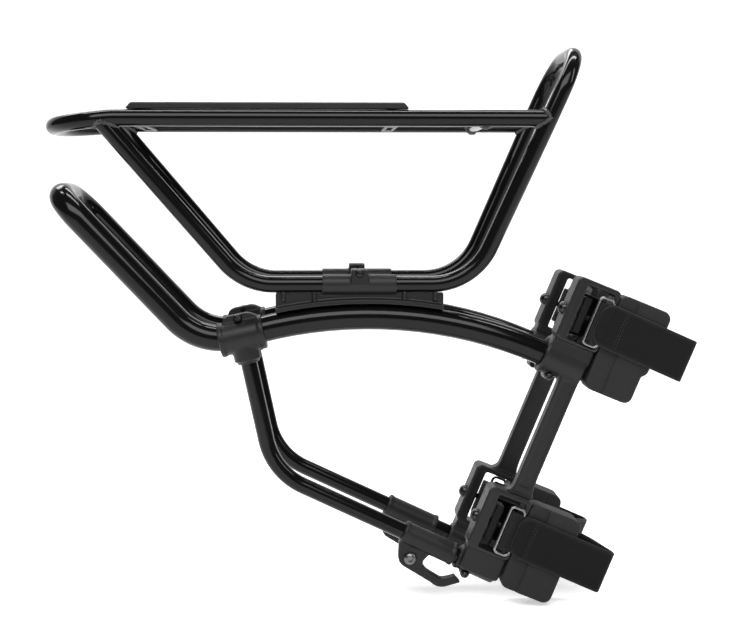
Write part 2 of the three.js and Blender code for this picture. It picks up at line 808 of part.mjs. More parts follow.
// The strap leaves the carriage on the inner side, rounds the stay and comes back outside.
function strapShape(foldU) {
  const outer = strapInner + strapThickness;
  const centreU = foldU - outer;
  const shape = new THREE.Shape();
  shape.moveTo(carriageRearU, -strapInner);
  shape.lineTo(carriageRearU, -outer);
  shape.lineTo(centreU, -outer);
  shape.absarc(centreU, 0, outer, -Math.PI / 2, Math.PI / 2);
  shape.lineTo(strapTailU, outer);
  shape.lineTo(strapTailU, strapInner);
  shape.lineTo(centreU, strapInner);
  shape.absarc(centreU, 0, strapInner, Math.PI / 2, -Math.PI / 2, true);
  return shape;
}

// A short strip with an eye around the ring's front rod.
function hookStripShape() {
  const outer = strapInner - gap;
  const inner = outer - hookStripThickness;
  const eye = outer - ringH;
  const shape = new THREE.Shape();
  shape.moveTo(hookStripFrontU, inner);
  shape.lineTo(hookStripFrontU, outer);
  shape.lineTo(ringFrontU, outer);
  shape.absarc(ringFrontU, ringH, eye, Math.PI / 2, 2 * Math.PI);
  shape.lineTo(ringFrontU + eye, inner);
  const hole = new THREE.Path();
  hole.absarc(ringFrontU, ringH, ringWire + gap, 0, 2 * Math.PI);
  shape.holes.push(hole);
  return shape;
}

function buckleRing(centreV, y, side) {
  const h = y + side * ringH;
  const path = [
    new V3((ringRearU + ringFrontU) / 2, h, -centreV - ringHalfHeight),
    new V3(ringRearU, h, -centreV - ringHalfHeight),
    new V3(ringRearU, h, -centreV + ringHalfHeight),
    new V3(ringFrontU, h, -centreV + ringHalfHeight),
    new V3(ringFrontU, h, -centreV - ringHalfHeight),
    new V3((ringRearU + ringFrontU) / 2 + 0.05, h, -centreV - ringHalfHeight),
  ];
  return toStay(bentTube(new BentPath(path, [2, 2, 2, 2]), ringWire, 6));
}

function carriage(centreV, y, side) {
  const faces = [y - side * (strapInner - gap), y + side * 13.6].sort((a, b) => a - b);
  const low = -centreV - carriageHalfHeight;
  const high = -centreV + carriageHalfHeight;
  const body = block(carriageRearU, carriageFrontU, faces[0], faces[1], low, high);
  const threadRoom = bar(
    new V3(carriageRearU - 1, y, -centreV),
    new V3(carriageFrontU + 1, y, -centreV),
    screwRadius + gap,
    12,
  );
  const rodRoom = bar(
    new V3(ringRearU, y + side * ringH, low - 1),
    new V3(ringRearU, y + side * ringH, high + 1),
    ringWire + gap,
    12,
  );
  return cut(solid(toStay(body)), toStay(threadRoom), toStay(rodRoom));
}

// The screw's domed head bears on the rear bar and its shank pulls the carriage.
function tensionScrew(centreV, y) {
  const seat = frameRearU - gap;
  const profile = [[0, 5], [3.4, 4.4], [screwHead, 1.2], [screwHead, 0], [0, 0]];
  const dome = new THREE.LatheGeometry(profile.map(([r, h]) => new V2(r, -h)), 14);
  dome.rotateZ(-Math.PI / 2);
  dome.translate(seat, y, -centreV);
  const onAxis = (u) => new V3(u, y, -centreV);
  const shank = bar(onAxis(seat - 1), onAxis(screwTipU), screwRadius, 10);
  const socket = bar(onAxis(seat - screwHead), onAxis(seat - screwRadius), screwSocket, 6);
  return cut(join(toStay(dome), toStay(shank)), toStay(socket));
}

const nearBracket = toGeometry(sideBracket(sides.near));
place('side_bracket_near', nearBracket, plastic);
place('side_bracket_far', mirrored(nearBracket), plastic);

Object.entries(sides).forEach(([sideName, side]) => {
  const y = side * bracketHalfWidth;
  Object.entries(levels).forEach(([levelName, level]) => {
    const name = `${levelName}_${sideName}`;
    const centreV = level.frameV + strapCentreV;
    const sleeve = sleeves[levelName](side * mainHalfWidth);
    place(`pinch_bolt_${name}`, pinchBolt(sleeve.bolt, side), blackSteel);
    place(`stay_pad_${name}`, pad(level.frameV, level.padEndV, y), rubber);
    place(`strap_${name}`, acrossStay(strapShape(level.foldU), centreV, strapWidth / 2, y, side), webbing);
    place(`hook_strip_${name}`, acrossStay(hookStripShape(), centreV, strapWidth / 2 - 1, y, side), webbing);
    place(`buckle_ring_${name}`, buckleRing(centreV, y, side), steel);
    place(`strap_carriage_${name}`, carriage(centreV, y, side), plastic);
    place(`tension_screw_${name}`, tensionScrew(centreV, y), steel);
  });
});

// Hook clips on the struts.

// Drawn with x along the strut and y square to it, upwards, from the rear end of the collar.
function clipOutline() {
  const shape = new THREE.Shape();
  shape.moveTo(0, -4);
  shape.lineTo(0, -9);
  shape.lineTo(4.5, -20);
  shape.quadraticCurveTo(7, -26.6, 14, -27.2);
  shape.lineTo(40, -30);
  shape.quadraticCurveTo(48.5, -33, 55, -27);
  shape.lineTo(clipTipS, -19.2);
  shape.lineTo(56.5, -16);
  shape.quadraticCurveTo(52, -21, 46.5, -23.4);
  shape.lineTo(34, -21.8);
  shape.quadraticCurveTo(27, -20.4, 26.5, -15.5);
  shape.lineTo(30, -4);
  return shape;
}

// Turns a solid drawn along the strut into the rack's frame.
function toStrut(geometry, station) {
  geometry.rotateY(radians(strutSlope));
  const start = strutCorner.clone().addScaledVector(strutAlong, station);
  return geometry.translate(start.x, 0, start.y);
}

function hookClip(station, y) {
  const collar = bar(new V3(0, y, 0), new V3(clipLength, y, 0), smallRadius + clipWall, 16);
  const plate = slab(clipOutline(), y - clipHalfThickness, y + clipHalfThickness);
  const tubeRoom = bar(new V3(-9, y, 0), new V3(clipLength + 9, y, 0), smallRadius + gap, smallSegments);
  const collarSlit = block(-1, clipLength + 1, y - clipSlit, y + clipSlit, -12, -5);
  const cheekSlit = block(-1, 24, y - clipSlit, y + clipSlit, -23, -11);
  const onBolt = (h) => new V3(clipBolt.x, h, clipBolt.y);
  const boltRoom = bar(onBolt(y - 20), onBolt(y + 20), clipBoltSize.room, 12);
  const tools = [tubeRoom, collarSlit, cheekSlit, boltRoom].map((tool) => toStrut(tool, station));
  return cut(join(toStrut(collar, station), toStrut(plate, station)), ...tools);
}

function clipScrew(y, side) {
  const seat = new V3(clipBolt.x, y + side * (clipHalfThickness + gap), clipBolt.y);
  const reach = 2 * clipHalfThickness + 2;
  return toGeometry(screw(seat, new V3(0, side, 0), clipBoltSize, reach));
}

Object.entries(sides).forEach(([name, side]) => {
  const y = side * strutHalfWidth;
  place(`hook_clip_${name}`, hookClip(clipStations[name], y), plastic);
  place(`clip_bolt_${name}`, toStrut(clipScrew(y, side), clipStations[name]), steel);
});

export default rack;
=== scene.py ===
import math
import bmesh
import bpy
import numpy as np
from mathutils import Matrix, Vector


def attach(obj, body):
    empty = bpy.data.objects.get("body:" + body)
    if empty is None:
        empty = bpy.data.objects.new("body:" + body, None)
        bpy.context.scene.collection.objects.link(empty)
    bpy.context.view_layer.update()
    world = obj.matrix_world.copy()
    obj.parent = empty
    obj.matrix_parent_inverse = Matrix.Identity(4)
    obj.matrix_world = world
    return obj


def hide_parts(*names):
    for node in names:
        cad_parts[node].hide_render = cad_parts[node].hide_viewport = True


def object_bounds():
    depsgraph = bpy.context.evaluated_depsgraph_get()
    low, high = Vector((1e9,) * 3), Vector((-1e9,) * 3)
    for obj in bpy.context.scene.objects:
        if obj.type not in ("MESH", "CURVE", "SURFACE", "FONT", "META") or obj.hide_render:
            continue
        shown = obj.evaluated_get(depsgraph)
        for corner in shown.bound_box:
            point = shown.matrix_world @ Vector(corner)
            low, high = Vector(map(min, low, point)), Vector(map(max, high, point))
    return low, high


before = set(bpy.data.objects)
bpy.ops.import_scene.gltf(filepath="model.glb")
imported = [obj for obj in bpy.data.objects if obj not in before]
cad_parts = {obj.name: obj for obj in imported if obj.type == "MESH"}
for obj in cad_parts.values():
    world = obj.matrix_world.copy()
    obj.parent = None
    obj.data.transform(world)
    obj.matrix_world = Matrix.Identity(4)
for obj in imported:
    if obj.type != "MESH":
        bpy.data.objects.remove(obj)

# A strap-on bicycle rear rack: gloss tubes, satin mouldings, rubber pads and woven straps.
# Lengths here are in millimetres and become metres when a mesh is made.
cadLow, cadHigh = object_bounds()
mm = 0.001
sides = {"near": -1, "far": 1}
levels = {
    "upper": {"frameV": -138, "padEndV": -52, "foldU": 17.8, "tailU": -66.5, "footStep": 4},
    "lower": {"frameV": 55.1, "padEndV": 133, "foldU": 25, "tailU": -60, "footStep": 0},
}


# paths and plain shapes
def unit(degrees):
    angle = math.radians(degrees)
    return Vector((math.cos(angle), 0, math.sin(angle)))


def at(x, z, y):
    return Vector((x, y, z))


def beside(point, y):
    # the same spot of the side view, moved out to y
    return at(point.x, point.z, y)


def screwSizes(head, height, socket, depth, shank, reach):
    labels = ("Head Radius", "Head Height", "Socket", "Depth", "Shank Radius", "Shank")
    return dict(zip(labels, (head, height, socket, depth, shank, reach)))


def meet(a, alongA, b, alongB):
    # where two lines of the side view cross
    cross = alongA.x * alongB.z - alongA.z * alongB.x
    offset = b - a
    t = (offset.x * alongB.z - offset.z * alongB.x) / cross
    return a + alongA * t


def bentPath(corners, radii, step=3):
    # straight runs with a round bend at each inner corner; each station is a point and a direction
    points = [Vector(c) for c in corners]
    stations = [(points[0], (points[1] - points[0]).normalized())]
    for i, radius in enumerate(radii):
        into = (points[i + 1] - points[i]).normalized()
        out = (points[i + 2] - points[i + 1]).normalized()
        turn = into.angle(out)
        inward = (out - into * into.dot(out)).normalized()
        start = points[i + 1] - into * radius * math.tan(turn / 2)
        steps = max(3, math.ceil(math.degrees(turn) / step))
        for k in range(steps + 1):
            angle = turn * k / steps
            point = start + into * radius * math.sin(angle) + inward * radius * (1 - math.cos(angle))
            stations.append((point, into * math.cos(angle) + inward * math.sin(angle)))
    stations.append((points[-1], (points[-1] - points[-2]).normalized()))
    kept = [stations[0]]
    for station in stations[1:]:
        if (station[0] - kept[-1][0]).length > 0.01:
            kept.append(station)
    return kept


def sweep(stations, radius, count=40, closed=False):
    # a round tube along the stations; radius may be a list, one for each station
    verts = []
    faces = []
    last = stations[0][1]
    across = last.orthogonal().normalized()
    for i, (point, along) in enumerate(stations):
        across = last.rotation_difference(along) @ across
        across = (across - along * across.dot(along)).normalized()
        up = along.cross(across)
        size = radius[i] if isinstance(radius, list) else radius
        for k in range(count):
            angle = 2 * math.pi * k / count
            verts.append(point + (across * math.cos(angle) + up * math.sin(angle)) * size)
        last = along
    rings = len(stations)
    for i in range(rings if closed else rings - 1):
        a = i * count
        b = ((i + 1) % rings) * count
        for k in range(count):
            n = (k + 1) % count
            faces.append((a + k, a + n, b + n, b + k))
    if not closed:
        faces.append(tuple(reversed(range(count))))
        faces.append(tuple(range((rings - 1) * count, rings * count)))
    return verts, faces


def bar(a, b, radius, count=32):
    along = (Vector(b) - Vector(a)).normalized()
    return sweep([(Vector(a), along), (Vector(b), along)], radius, count)


def slab(outline, y0, y1):
    # an outline in x and z, spanning y0 to y1
    count = len(outline)
    verts = [Vector((x, y0, z)) for x, z in outline] + [Vector((x, y1, z)) for x, z in outline]
    faces = [(k, (k + 1) % count, count + (k + 1) % count, count + k) for k in range(count)]
    faces.append(tuple(reversed(range(count))))
    faces.append(tuple(range(count, 2 * count)))
    return verts, faces


def block(x0, x1, y0, y1, z0, z1):
    return slab([(x0, z0), (x1, z0), (x1, z1), (x0, z1)], min(y0, y1), max(y0, y1))


def arcPoints(x, z, radius, start, end, steps):
    angles = [math.radians(start + (end - start) * k / steps) for k in range(steps + 1)]
    return [(x + radius * math.cos(a), z + radius * math.sin(a)) for a in angles]


def roundedRectangle(x0, x1, z0, z1, radius, steps=6):
    return (
        arcPoints(x1 - radius, z0 + radius, radius, -90, 0, steps)
        + arcPoints(x1 - radius, z1 - radius, radius, 0, 90, steps)
        + arcPoints(x0 + radius, z1 - radius, radius, 90, 180, steps)
        + arcPoints(x0 + radius, z0 + radius, radius, 180, 270, steps)
    )


def curveTo(a, control, b, steps=8):
    found = []
    for k in range(1, steps + 1):
        t = k / steps
        found.append(tuple((1 - t) ** 2 * a[i] + 2 * t * (1 - t) * control[i] + t * t * b[i] for i in (0, 1)))
    return found



# meshes and objects
def makeMesh(name, shapes, place=None):
    # shapes are pairs of points and faces, in millimetres
    build = bmesh.new()
    for verts, faces in shapes:
        made = [build.verts.new(v * mm) for v in verts]
        for face in faces:
            build.faces.new([made[k] for k in face])
    bmesh.ops.recalc_face_normals(build, faces=build.faces[:])
    if place is not None:
        bmesh.ops.transform(build, matrix=place, verts=build.verts[:])
    mesh = bpy.data.meshes.new(name)
    build.to_mesh(mesh)
    build.free()
    return mesh


def makeObject(name, mesh):
    obj = bpy.data.objects.new(name, mesh)
    bpy.context.scene.collection.objects.link(obj)
    return obj


def settle(obj):
    # the mesh with its modifiers applied
    graph = bpy.context.evaluated_depsgraph_get()
    mesh = bpy.data.meshes.new_from_object(obj.evaluated_get(graph), depsgraph=graph)
    obj.modifiers.clear()
    obj.data = mesh
    return mesh


def smoothShade(mesh, angle=35):
    mesh.polygons.foreach_set("use_smooth", [True] * len(mesh.polygons))
    if angle:
        mesh.set_sharp_from_angle(angle=math.radians(angle))


def markEdges(mesh, reach=0.00012):
    # how sharply each point stands out, for the wear along outer edges
    count = len(mesh.vertices)
    spots = np.empty(count * 3)
    mesh.vertices.foreach_get("co", spots)
    spots = spots.reshape(-1, 3)
    normals = np.empty(count * 3)
    mesh.vertex_normals.foreach_get("vector", normals)
    normals = normals.reshape(-1, 3)
    ends = np.empty(len(mesh.edges) * 2, dtype=np.int32)
    mesh.edges.foreach_get("vertices", ends)
    ends = ends.reshape(-1, 2)
    neighbours = np.bincount(ends.ravel(), minlength=count).clip(1)

    def average(values):
        total = np.zeros_like(values)
        np.add.at(total, ends[:, 0], values[ends[:, 1]])
        np.add.at(total, ends[:, 1], values[ends[:, 0]])
        return total / (neighbours[:, None] if values.ndim == 2 else neighbours)

    lean = ((spots - average(spots)) * normals).sum(axis=1) / reach
    for _ in range(3):
        lean = 0.5 * lean + 0.5 * average(lean)
    layer = mesh.attributes.new("edge", "FLOAT", "POINT")
    layer.data.foreach_set("value", lean.clip(0, 1).astype(np.float32))


def carve(name, adds, cuts, voxel=0.8, rounds=4, place=None):
    # joins the shapes, cuts the tools away and rounds the edges as a mould would
    size = voxel * 1 * mm
    piece = makeObject(name, makeMesh(name, adds))
    grow = piece.modifiers.new("grow", "REMESH")
    grow.mode = "VOXEL"
    grow.voxel_size = size * 0.8
    settle(piece)
    tools = [makeObject("tool", makeMesh("tool", [c])) for c in cuts]
    for tool in tools:
        trim = piece.modifiers.new("trim", "BOOLEAN")
        trim.operation = "DIFFERENCE"
        trim.solver = "MANIFOLD"
        trim.object = tool
    again = piece.modifiers.new("even", "REMESH")
    again.mode = "VOXEL"
    again.voxel_size = size
    soften = piece.modifiers.new("soften", "SMOOTH")
    soften.factor = 0.5
    soften.iterations = rounds
    mesh = settle(piece)
    for tool in tools:
        bpy.data.objects.remove(tool)
    if place is not None:
        mesh.transform(place)
    smoothShade(mesh, None)
    markEdges(mesh)
    return piece


def mirrorCopy(piece, name):
    mesh = piece.data.copy()
    mesh.transform(Matrix.Diagonal((1, -1, 1, 1)))
    mesh.flip_normals()
    return makeObject(name, mesh)


def finish(piece, body, look, nodes=()):
    # a look is a material and the name of its slot; the slot name is not used here
    material, slotName = look
    piece.data.materials.clear()
    piece.data.materials.append(material)
    piece.data.polygons.foreach_set("material_index", [0] * len(piece.data.polygons))
    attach(piece, body)
    if nodes:
        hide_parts(*nodes)
    return piece



# node trees
class Term:
    # a socket that takes part in sums
    def __init__(self, tree, socket):
        self.tree = tree
        self.socket = socket

    def math(self, operation, other=0.0, flipped=False):
        node = self.tree.nodes.new("ShaderNodeMath")
        node.operation = operation
        pair = (other, self) if flipped else (self, other)
        for entry, value in zip(node.inputs, pair):
            if isinstance(value, Term):
                self.tree.links.new(value.socket, entry)
            else:
                entry.default_value = value
        return Term(self.tree, node.outputs[0])

    def __add__(self, other):
        return self.math("ADD", other)

    def __sub__(self, other):
        return self.math("SUBTRACT", other)

    def __rsub__(self, other):
        return self.math("SUBTRACT", other, True)

    def __mul__(self, other):
        return self.math("MULTIPLY", other)

    __radd__ = __add__
    __rmul__ = __mul__


class Tree:
    def __init__(self, tree):
        self.tree = tree

    def add(self, kind, settings=None, sockets=None, out=0):
        # adds a node: its settings first, then the values or links of its sockets
        node = self.tree.nodes.new(kind)
        for key, value in (settings or {}).items():
            if key == "stops":
                for element, (place, colour) in zip(node.color_ramp.elements, value):
                    element.position = place
                    element.color = (colour, colour, colour, 1)
            else:
                setattr(node, key, value)
        for key, value in (sockets or {}).items():
            entry = node.inputs[key]
            for single in value if isinstance(value, list) else [value]:
                if isinstance(single, Term):
                    self.tree.links.new(single.socket, entry)
                else:
                    entry.default_value = single
        return Term(self.tree, node.outputs[out])


class Surface(Tree):
    def __init__(self, name, **fixed):
        self.material = bpy.data.materials.new(name)
        self.material.use_nodes = True
        super().__init__(self.material.node_tree)
        self.shader = self.tree.nodes["Principled BSDF"]
        for key, value in fixed.items():
            self.shader.inputs[key.replace("_", " ")].default_value = value
        self.place = self.add("ShaderNodeTexCoord", out="Object")

    def feed(self, key, term):
        self.tree.links.new(term.socket, self.shader.inputs[key])

    def noise(self, scale, detail=3, stretch=None, source=None):
        spot = source or self.place
        if stretch:
            spot = self.add("ShaderNodeMapping", None, {"Vector": spot, "Scale": stretch})
        return self.add(
            "ShaderNodeTexNoise", None, {"Vector": spot, "Scale": scale, "Detail": detail}, "Fac"
        )

    def ramp(self, term, low, high):
        # 0 below low, 1 above high
        return self.add(
            "ShaderNodeMapRange",
            {"clamp": True, "interpolation_type": "SMOOTHSTEP"},
            {"Value": term, "From Min": low, "From Max": high},
        )

    def mix(self, factor, first, second):
        pair = {"Factor": factor, 6: first, 7: second}
        return self.add("ShaderNodeMix", {"data_type": "RGBA"}, pair, 2)

    def bump(self, height, distance, strength=1.0):
        relief = self.add(
            "ShaderNodeBump", None, {"Height": height, "Distance": distance, "Strength": strength}, "Normal"
        )
        self.feed("Normal", relief)


def grey(value, warmth=0.0):
    return (value * (1 + warmth), value, value * (1 - warmth), 1)


def paintFinish():
    look = Surface("glossBlackPaint", IOR=1.29)
    cloud = look.noise(14, 2)
    fine = look.noise(900, 2)
    peel = look.noise(260, 2)
    scuff = look.ramp(look.noise(60, 6, (1, 5, 5)), 0.64, 0.74)
    look.feed("Base Color", look.mix(cloud, grey(0.002), grey(0.004)))
    look.feed("Roughness", cloud * 0.05 + scuff * 0.08 + fine * 0.02 + 0.09)
    look.bump(peel, 0.00006, 0.35)
    return look.material


def mouldedFinish(name, low, high, rough, edgeTone):
    look = Surface(name, IOR=1.33)
    cloud = look.noise(22, 3)
    grain = look.noise(2600, 2)
    speck = look.add(
        "ShaderNodeTexVoronoi", {"feature": "F1"}, {"Vector": look.place, "Scale": 1500.0}, "Distance"
    )
    edge = look.add("ShaderNodeAttribute", {"attribute_name": "edge"}, None, "Fac")
    broken = look.ramp(look.noise(420, 4), 0.3, 0.75)
    worn = look.ramp(edge, 0.25, 0.9) * (broken * 0.6 + 0.4)
    base = look.mix(cloud, grey(low), grey(high))
    look.feed("Base Color", look.mix(worn, base, grey(edgeTone)))
    scuff = look.ramp(look.noise(90, 5, (3, 1, 1)), 0.6, 0.72)
    look.feed("Roughness", cloud * 0.12 + grain * 0.08 - worn * 0.1 + scuff * 0.1 + rough)
    look.bump(speck * 0.6 + grain * 0.6, 0.00008, 0.35)
    return look.material


def rubberFinish():
    look = Surface("greyRubber", IOR=1.3)
    cloud = look.noise(35, 4)
    grain = look.noise(1800, 3)
    edge = look.add("ShaderNodeAttribute", {"attribute_name": "edge"}, None, "Fac")
    worn = look.ramp(edge, 0.3, 1.0) * 0.7
    dust = look.ramp(look.noise(160, 6), 0.5, 0.8) * 0.35
    base = look.mix(cloud, grey(0.009), grey(0.014))
    look.feed("Base Color", look.mix(worn + dust * 0.3, base, grey(0.03, 0.02)))
    look.feed("Roughness", cloud * 0.15 + grain * 0.1 + 0.5)
    look.bump(grain, 0.0001, 0.4)
    return look.material


def webbingFinish():
    # ribs run across the strap; the UV map is in metres, along and across
    look = Surface("blackWebbing", IOR=1.22, Sheen_Weight=0.06, Sheen_Roughness=0.5)
    flat = look.add("ShaderNodeUVMap", {"uv_map": "weave"})
    parts = look.tree.nodes.new("ShaderNodeSeparateXYZ")
    look.tree.links.new(flat.socket, parts.inputs[0])
    along = Term(look.tree, parts.outputs[0])
    across = Term(look.tree, parts.outputs[1])
    drift = look.noise(240, 2, None, flat) * 0.9
    ribs = (along * (math.pi / 0.00085) + drift).math("SINE")
    yarns = (across * (math.pi / 0.0006) + drift).math("SINE")
    weave = (ribs * yarns) * 0.5 + 0.5
    border = look.ramp(across.math("ABSOLUTE"), 0.0155, 0.0163)
    rim = look.ramp(across.math("ABSOLUTE"), 0.0176, 0.0186)
    fuzz = look.noise(2400, 4, None, flat)
    base = look.mix(weave * 0.7 + fuzz * 0.3, grey(0.002), grey(0.007))
    edged = look.mix(rim * 0.8 + border * 0.12, base, grey(0.03))
    look.feed("Base Color", edged)
    look.feed("Roughness", fuzz * 0.2 - border * 0.12 + 0.72)
    look.bump(weave * 0.7 + fuzz * 0.5 + border * 0.6, 0.00022, 0.7)
    return look.material


def fuzzFinish():
    look = Surface("hookTape", IOR=1.25, Sheen_Weight=0.1, Sheen_Roughness=0.6)
    fuzz = look.noise(1500, 5)
    speck = look.noise(4200, 2)
    look.feed("Base Color", look.mix(look.ramp(fuzz, 0.35, 0.7), grey(0.002), grey(0.01)))
    look.feed("Roughness", speck * 0.2 + 0.75)
    look.bump(fuzz * 0.7 + speck * 0.3, 0.0003, 0.8)
    return look.material


def steelFinish(name, tone, rough, dirt):
    look = Surface(name, Metallic=1.0)
    brushed = look.noise(500, 4, (1, 1, 7))
    cloud = look.noise(110, 4)
    stain = look.ramp(cloud, 0.5, 0.75) * dirt
    look.feed("Base Color", look.mix(stain, grey(tone), grey(tone * 0.35, 0.06)))
    look.feed("Roughness", brushed * 0.14 + stain * 0.3 + rough)
    look.bump(brushed, 0.00004, 0.3)
    return look.material


def floorFinish():
    look = Surface("paleFloor", IOR=1.4, Emission_Strength=0.55)
    cloud = look.noise(1.2, 2)
    tone = look.mix(cloud, grey(0.88), grey(0.92))
    look.feed("Base Color", tone)
    look.feed("Emission Color", tone)
    look.feed("Roughness", cloud * 0.1 + 0.75)
    return look.material


paint = (paintFinish(), "gloss_black_paint")
moulded = (mouldedFinish("satinMoulding", 0.005, 0.009, 0.34, 0.022), "black_plastic")
deepMoulding = (mouldedFinish("deepMoulding", 0.002, 0.004, 0.5, 0.006), "black_plastic")
plateMoulding = (mouldedFinish("plateMoulding", 0.009, 0.014, 0.36, 0.03), "black_plastic")
rubber = (rubberFinish(), "grey_rubber")
webbing = (webbingFinish(), "black_webbing")
hookTape = (fuzzFinish(), "black_webbing")
blackSteel = (steelFinish("blackSteel", 0.04, 0.2, 0.4), "black_steel")
tensionSteel = (blackSteel[0], "bright_steel")
ringSteel = (steelFinish("darkSteel", 0.2, 0.2, 0.6), "bright_steel")
boltSteel = (steelFinish("boltSteel", 0.13, 0.24, 0.5), "bright_steel")
weldPaint = (steelFinish("weldBead", 0.07, 0.24, 0.3), "gloss_black_paint")
print("materials made")


# geometry nodes for what repeats
class Growth(Tree):
    # a geometry tree with named inputs
    def __init__(self, name, sizes):
        super().__init__(bpy.data.node_groups.new(name, "GeometryNodeTree"))
        panel = self.tree.interface
        panel.new_socket("Geometry", in_out="INPUT", socket_type="NodeSocketGeometry")
        for label, value in sizes.items():
            kind = "NodeSocketInt" if isinstance(value, int) else "NodeSocketFloat"
            panel.new_socket(label, in_out="INPUT", socket_type=kind).default_value = value
        panel.new_socket("Material", in_out="INPUT", socket_type="NodeSocketMaterial")
        panel.new_socket("Geometry", in_out="OUTPUT", socket_type="NodeSocketGeometry")
        entry = self.tree.nodes.new("NodeGroupInput")
        self.take = {socket.name: Term(self.tree, socket) for socket in entry.outputs if socket.name}

    def triple(self, x, y, z):
        return self.add("ShaderNodeCombineXYZ", None, {"X": x, "Y": y, "Z": z})

    def moved(self, shape, **change):
        return self.add("GeometryNodeTransform", None, {"Geometry": shape, **change})

    def cylinder(self, vertices, radius, depth):
        sizes = {"Vertices": vertices, "Radius": radius, "Depth": depth}
        return self.add("GeometryNodeMeshCylinder", None, sizes)

    def alongLine(self):
        # evenly spaced points on the line, and the turn that lays +Z along it
        line = self.add("GeometryNodeMeshToCurve", None, {"Mesh": self.take["Geometry"]})
        spacing = {"Curve": line, "Length": self.take["Pitch"]}
        even = self.add("GeometryNodeResampleCurve", {"mode": "LENGTH"}, spacing)
        along = self.add("GeometryNodeInputTangent")
        return even, self.add("FunctionNodeAlignRotationToVector", {"axis": "Z"}, {"Vector": along})

    def spread(self, points, shape, **change):
        # the shape on every point, made real and given its material
        sockets = {"Points": points, "Instance": shape, **change}
        copies = self.add("GeometryNodeInstanceOnPoints", None, sockets)
        real = self.add("GeometryNodeRealizeInstances", None, {"Geometry": copies})
        sockets = {"Geometry": real, "Material": self.take["Material"]}
        painted = self.add("GeometryNodeSetMaterial", None, sockets)
        leave = self.tree.nodes.new("NodeGroupOutput")
        self.tree.links.new(painted.socket, leave.inputs[0])
        return self.tree


def screwTree():
    # a button head with a hexagon socket and a shank, turned by each point's own angles
    kit = Growth("buttonScrews", screwSizes(4.0, 2.4, 1.7, 1.4, 1.6, 10.0))
    take = kit.take
    head = take["Head Radius"]
    height = take["Head Height"]
    ball = kit.add("GeometryNodeMeshUVSphere", None, {"Segments": 44, "Rings": 26, "Radius": 1.0})
    dome = kit.moved(ball, Scale=kit.triple(head, head, height * 1.15))
    cube = kit.add("GeometryNodeMeshCube", None, {"Size": kit.triple(head * 3, head * 3, height * 3)})
    below = kit.moved(cube, Translation=kit.triple(0.0, 0.0, height * -1.5))
    above = kit.moved(cube, Translation=kit.triple(0.0, 0.0, height * 2.5))
    hexagon = kit.cylinder(6, take["Socket"], take["Depth"] * 2)
    recess = kit.moved(hexagon, Translation=kit.triple(0.0, 0.0, height))
    cutHead = kit.add(
        "GeometryNodeMeshBoolean",
        {"operation": "DIFFERENCE", "solver": "EXACT"},
        {"Mesh 1": dome, "Mesh 2": [below, above, recess]},
    )
    shank = kit.cylinder(24, take["Shank Radius"], take["Shank"])
    low = kit.moved(shank, Translation=kit.triple(0.0, 0.0, 0.2 - take["Shank"] * 0.5))
    whole = kit.add("GeometryNodeJoinGeometry", None, {"Geometry": [cutHead, low]})
    turn = kit.add("GeometryNodeInputNamedAttribute", {"data_type": "FLOAT_VECTOR"}, {"Name": "turn"})
    return kit.spread(take["Geometry"], whole, Rotation=turn, Scale=(mm, mm, mm))


def beadTree():
    # a weld bead: overlapping ripples along a line
    kit = Growth("weldRipples", {"Pitch": 0.0012, "Width": 0.0017, "Length": 0.0011, "Seed": 3})
    even, turn = kit.alongLine()
    ball = kit.add("GeometryNodeMeshIcoSphere", None, {"Radius": 1.0, "Subdivisions": 3})
    limits = {2: 0.82, 3: 1.15, "Seed": kit.take["Seed"]}
    stray = kit.add("FunctionNodeRandomValue", {"data_type": "FLOAT"}, limits, 1)
    width = kit.take["Width"] * stray
    return kit.spread(even, ball, Rotation=turn, Scale=kit.triple(width, width, kit.take["Length"]))


def stitchTree():
    # short threads lying along a line
    kit = Growth("stitches", {"Pitch": 0.0026, "Length": 0.0009, "Thickness": 0.00028, "Seed": 5})
    even, turn = kit.alongLine()
    ball = kit.add("GeometryNodeMeshUVSphere", None, {"Segments": 10, "Rings": 8, "Radius": 1.0})
    thick = kit.take["Thickness"]
    return kit.spread(even, ball, Rotation=turn, Scale=kit.triple(thick, thick, kit.take["Length"]))


def hookTree():
    # small bent hooks scattered over a face
    kit = Growth("hooks", {"Density": 900000.0, "Wire": 0.0001, "Height": 0.0005, "Seed": 11})
    take = kit.take
    spots = kit.add(
        "GeometryNodeDistributePointsOnFaces",
        None,
        {"Mesh": take["Geometry"], "Density": take["Density"], "Seed": take["Seed"]},
    )
    normal = Term(kit.tree, spots.socket.node.outputs["Rotation"])
    limits = {1: (6.0, 6.0, 6.0), "Seed": take["Seed"]}
    spin = kit.add("FunctionNodeRandomValue", {"data_type": "FLOAT_VECTOR"}, limits)
    bend = {"Resolution": 6, "Radius": take["Height"], "Start Angle": 0.0, "Sweep Angle": 3.6}
    arc = kit.add("GeometryNodeCurveArc", {"mode": "RADIUS"}, bend)
    wire = {"Resolution": 4, "Radius": take["Wire"]}
    ring = kit.add("GeometryNodeCurvePrimitiveCircle", {"mode": "RADIUS"}, wire)
    parts = {"Curve": arc, "Profile Curve": ring, "Fill Caps": True}
    upright = kit.moved(kit.add("GeometryNodeCurveToMesh", None, parts), Rotation=(math.pi / 2, 0.0, 0.0))
    turns = {"Rotation": normal, "Rotate By": spin}
    turned = kit.add("FunctionNodeRotateRotation", {"rotation_space": "LOCAL"}, turns)
    return kit.spread(spots, upright, Rotation=turned)


screwNodes = screwTree()
beadNodes = beadTree()
stitchNodes = stitchTree()
hookNodes = hookTree()


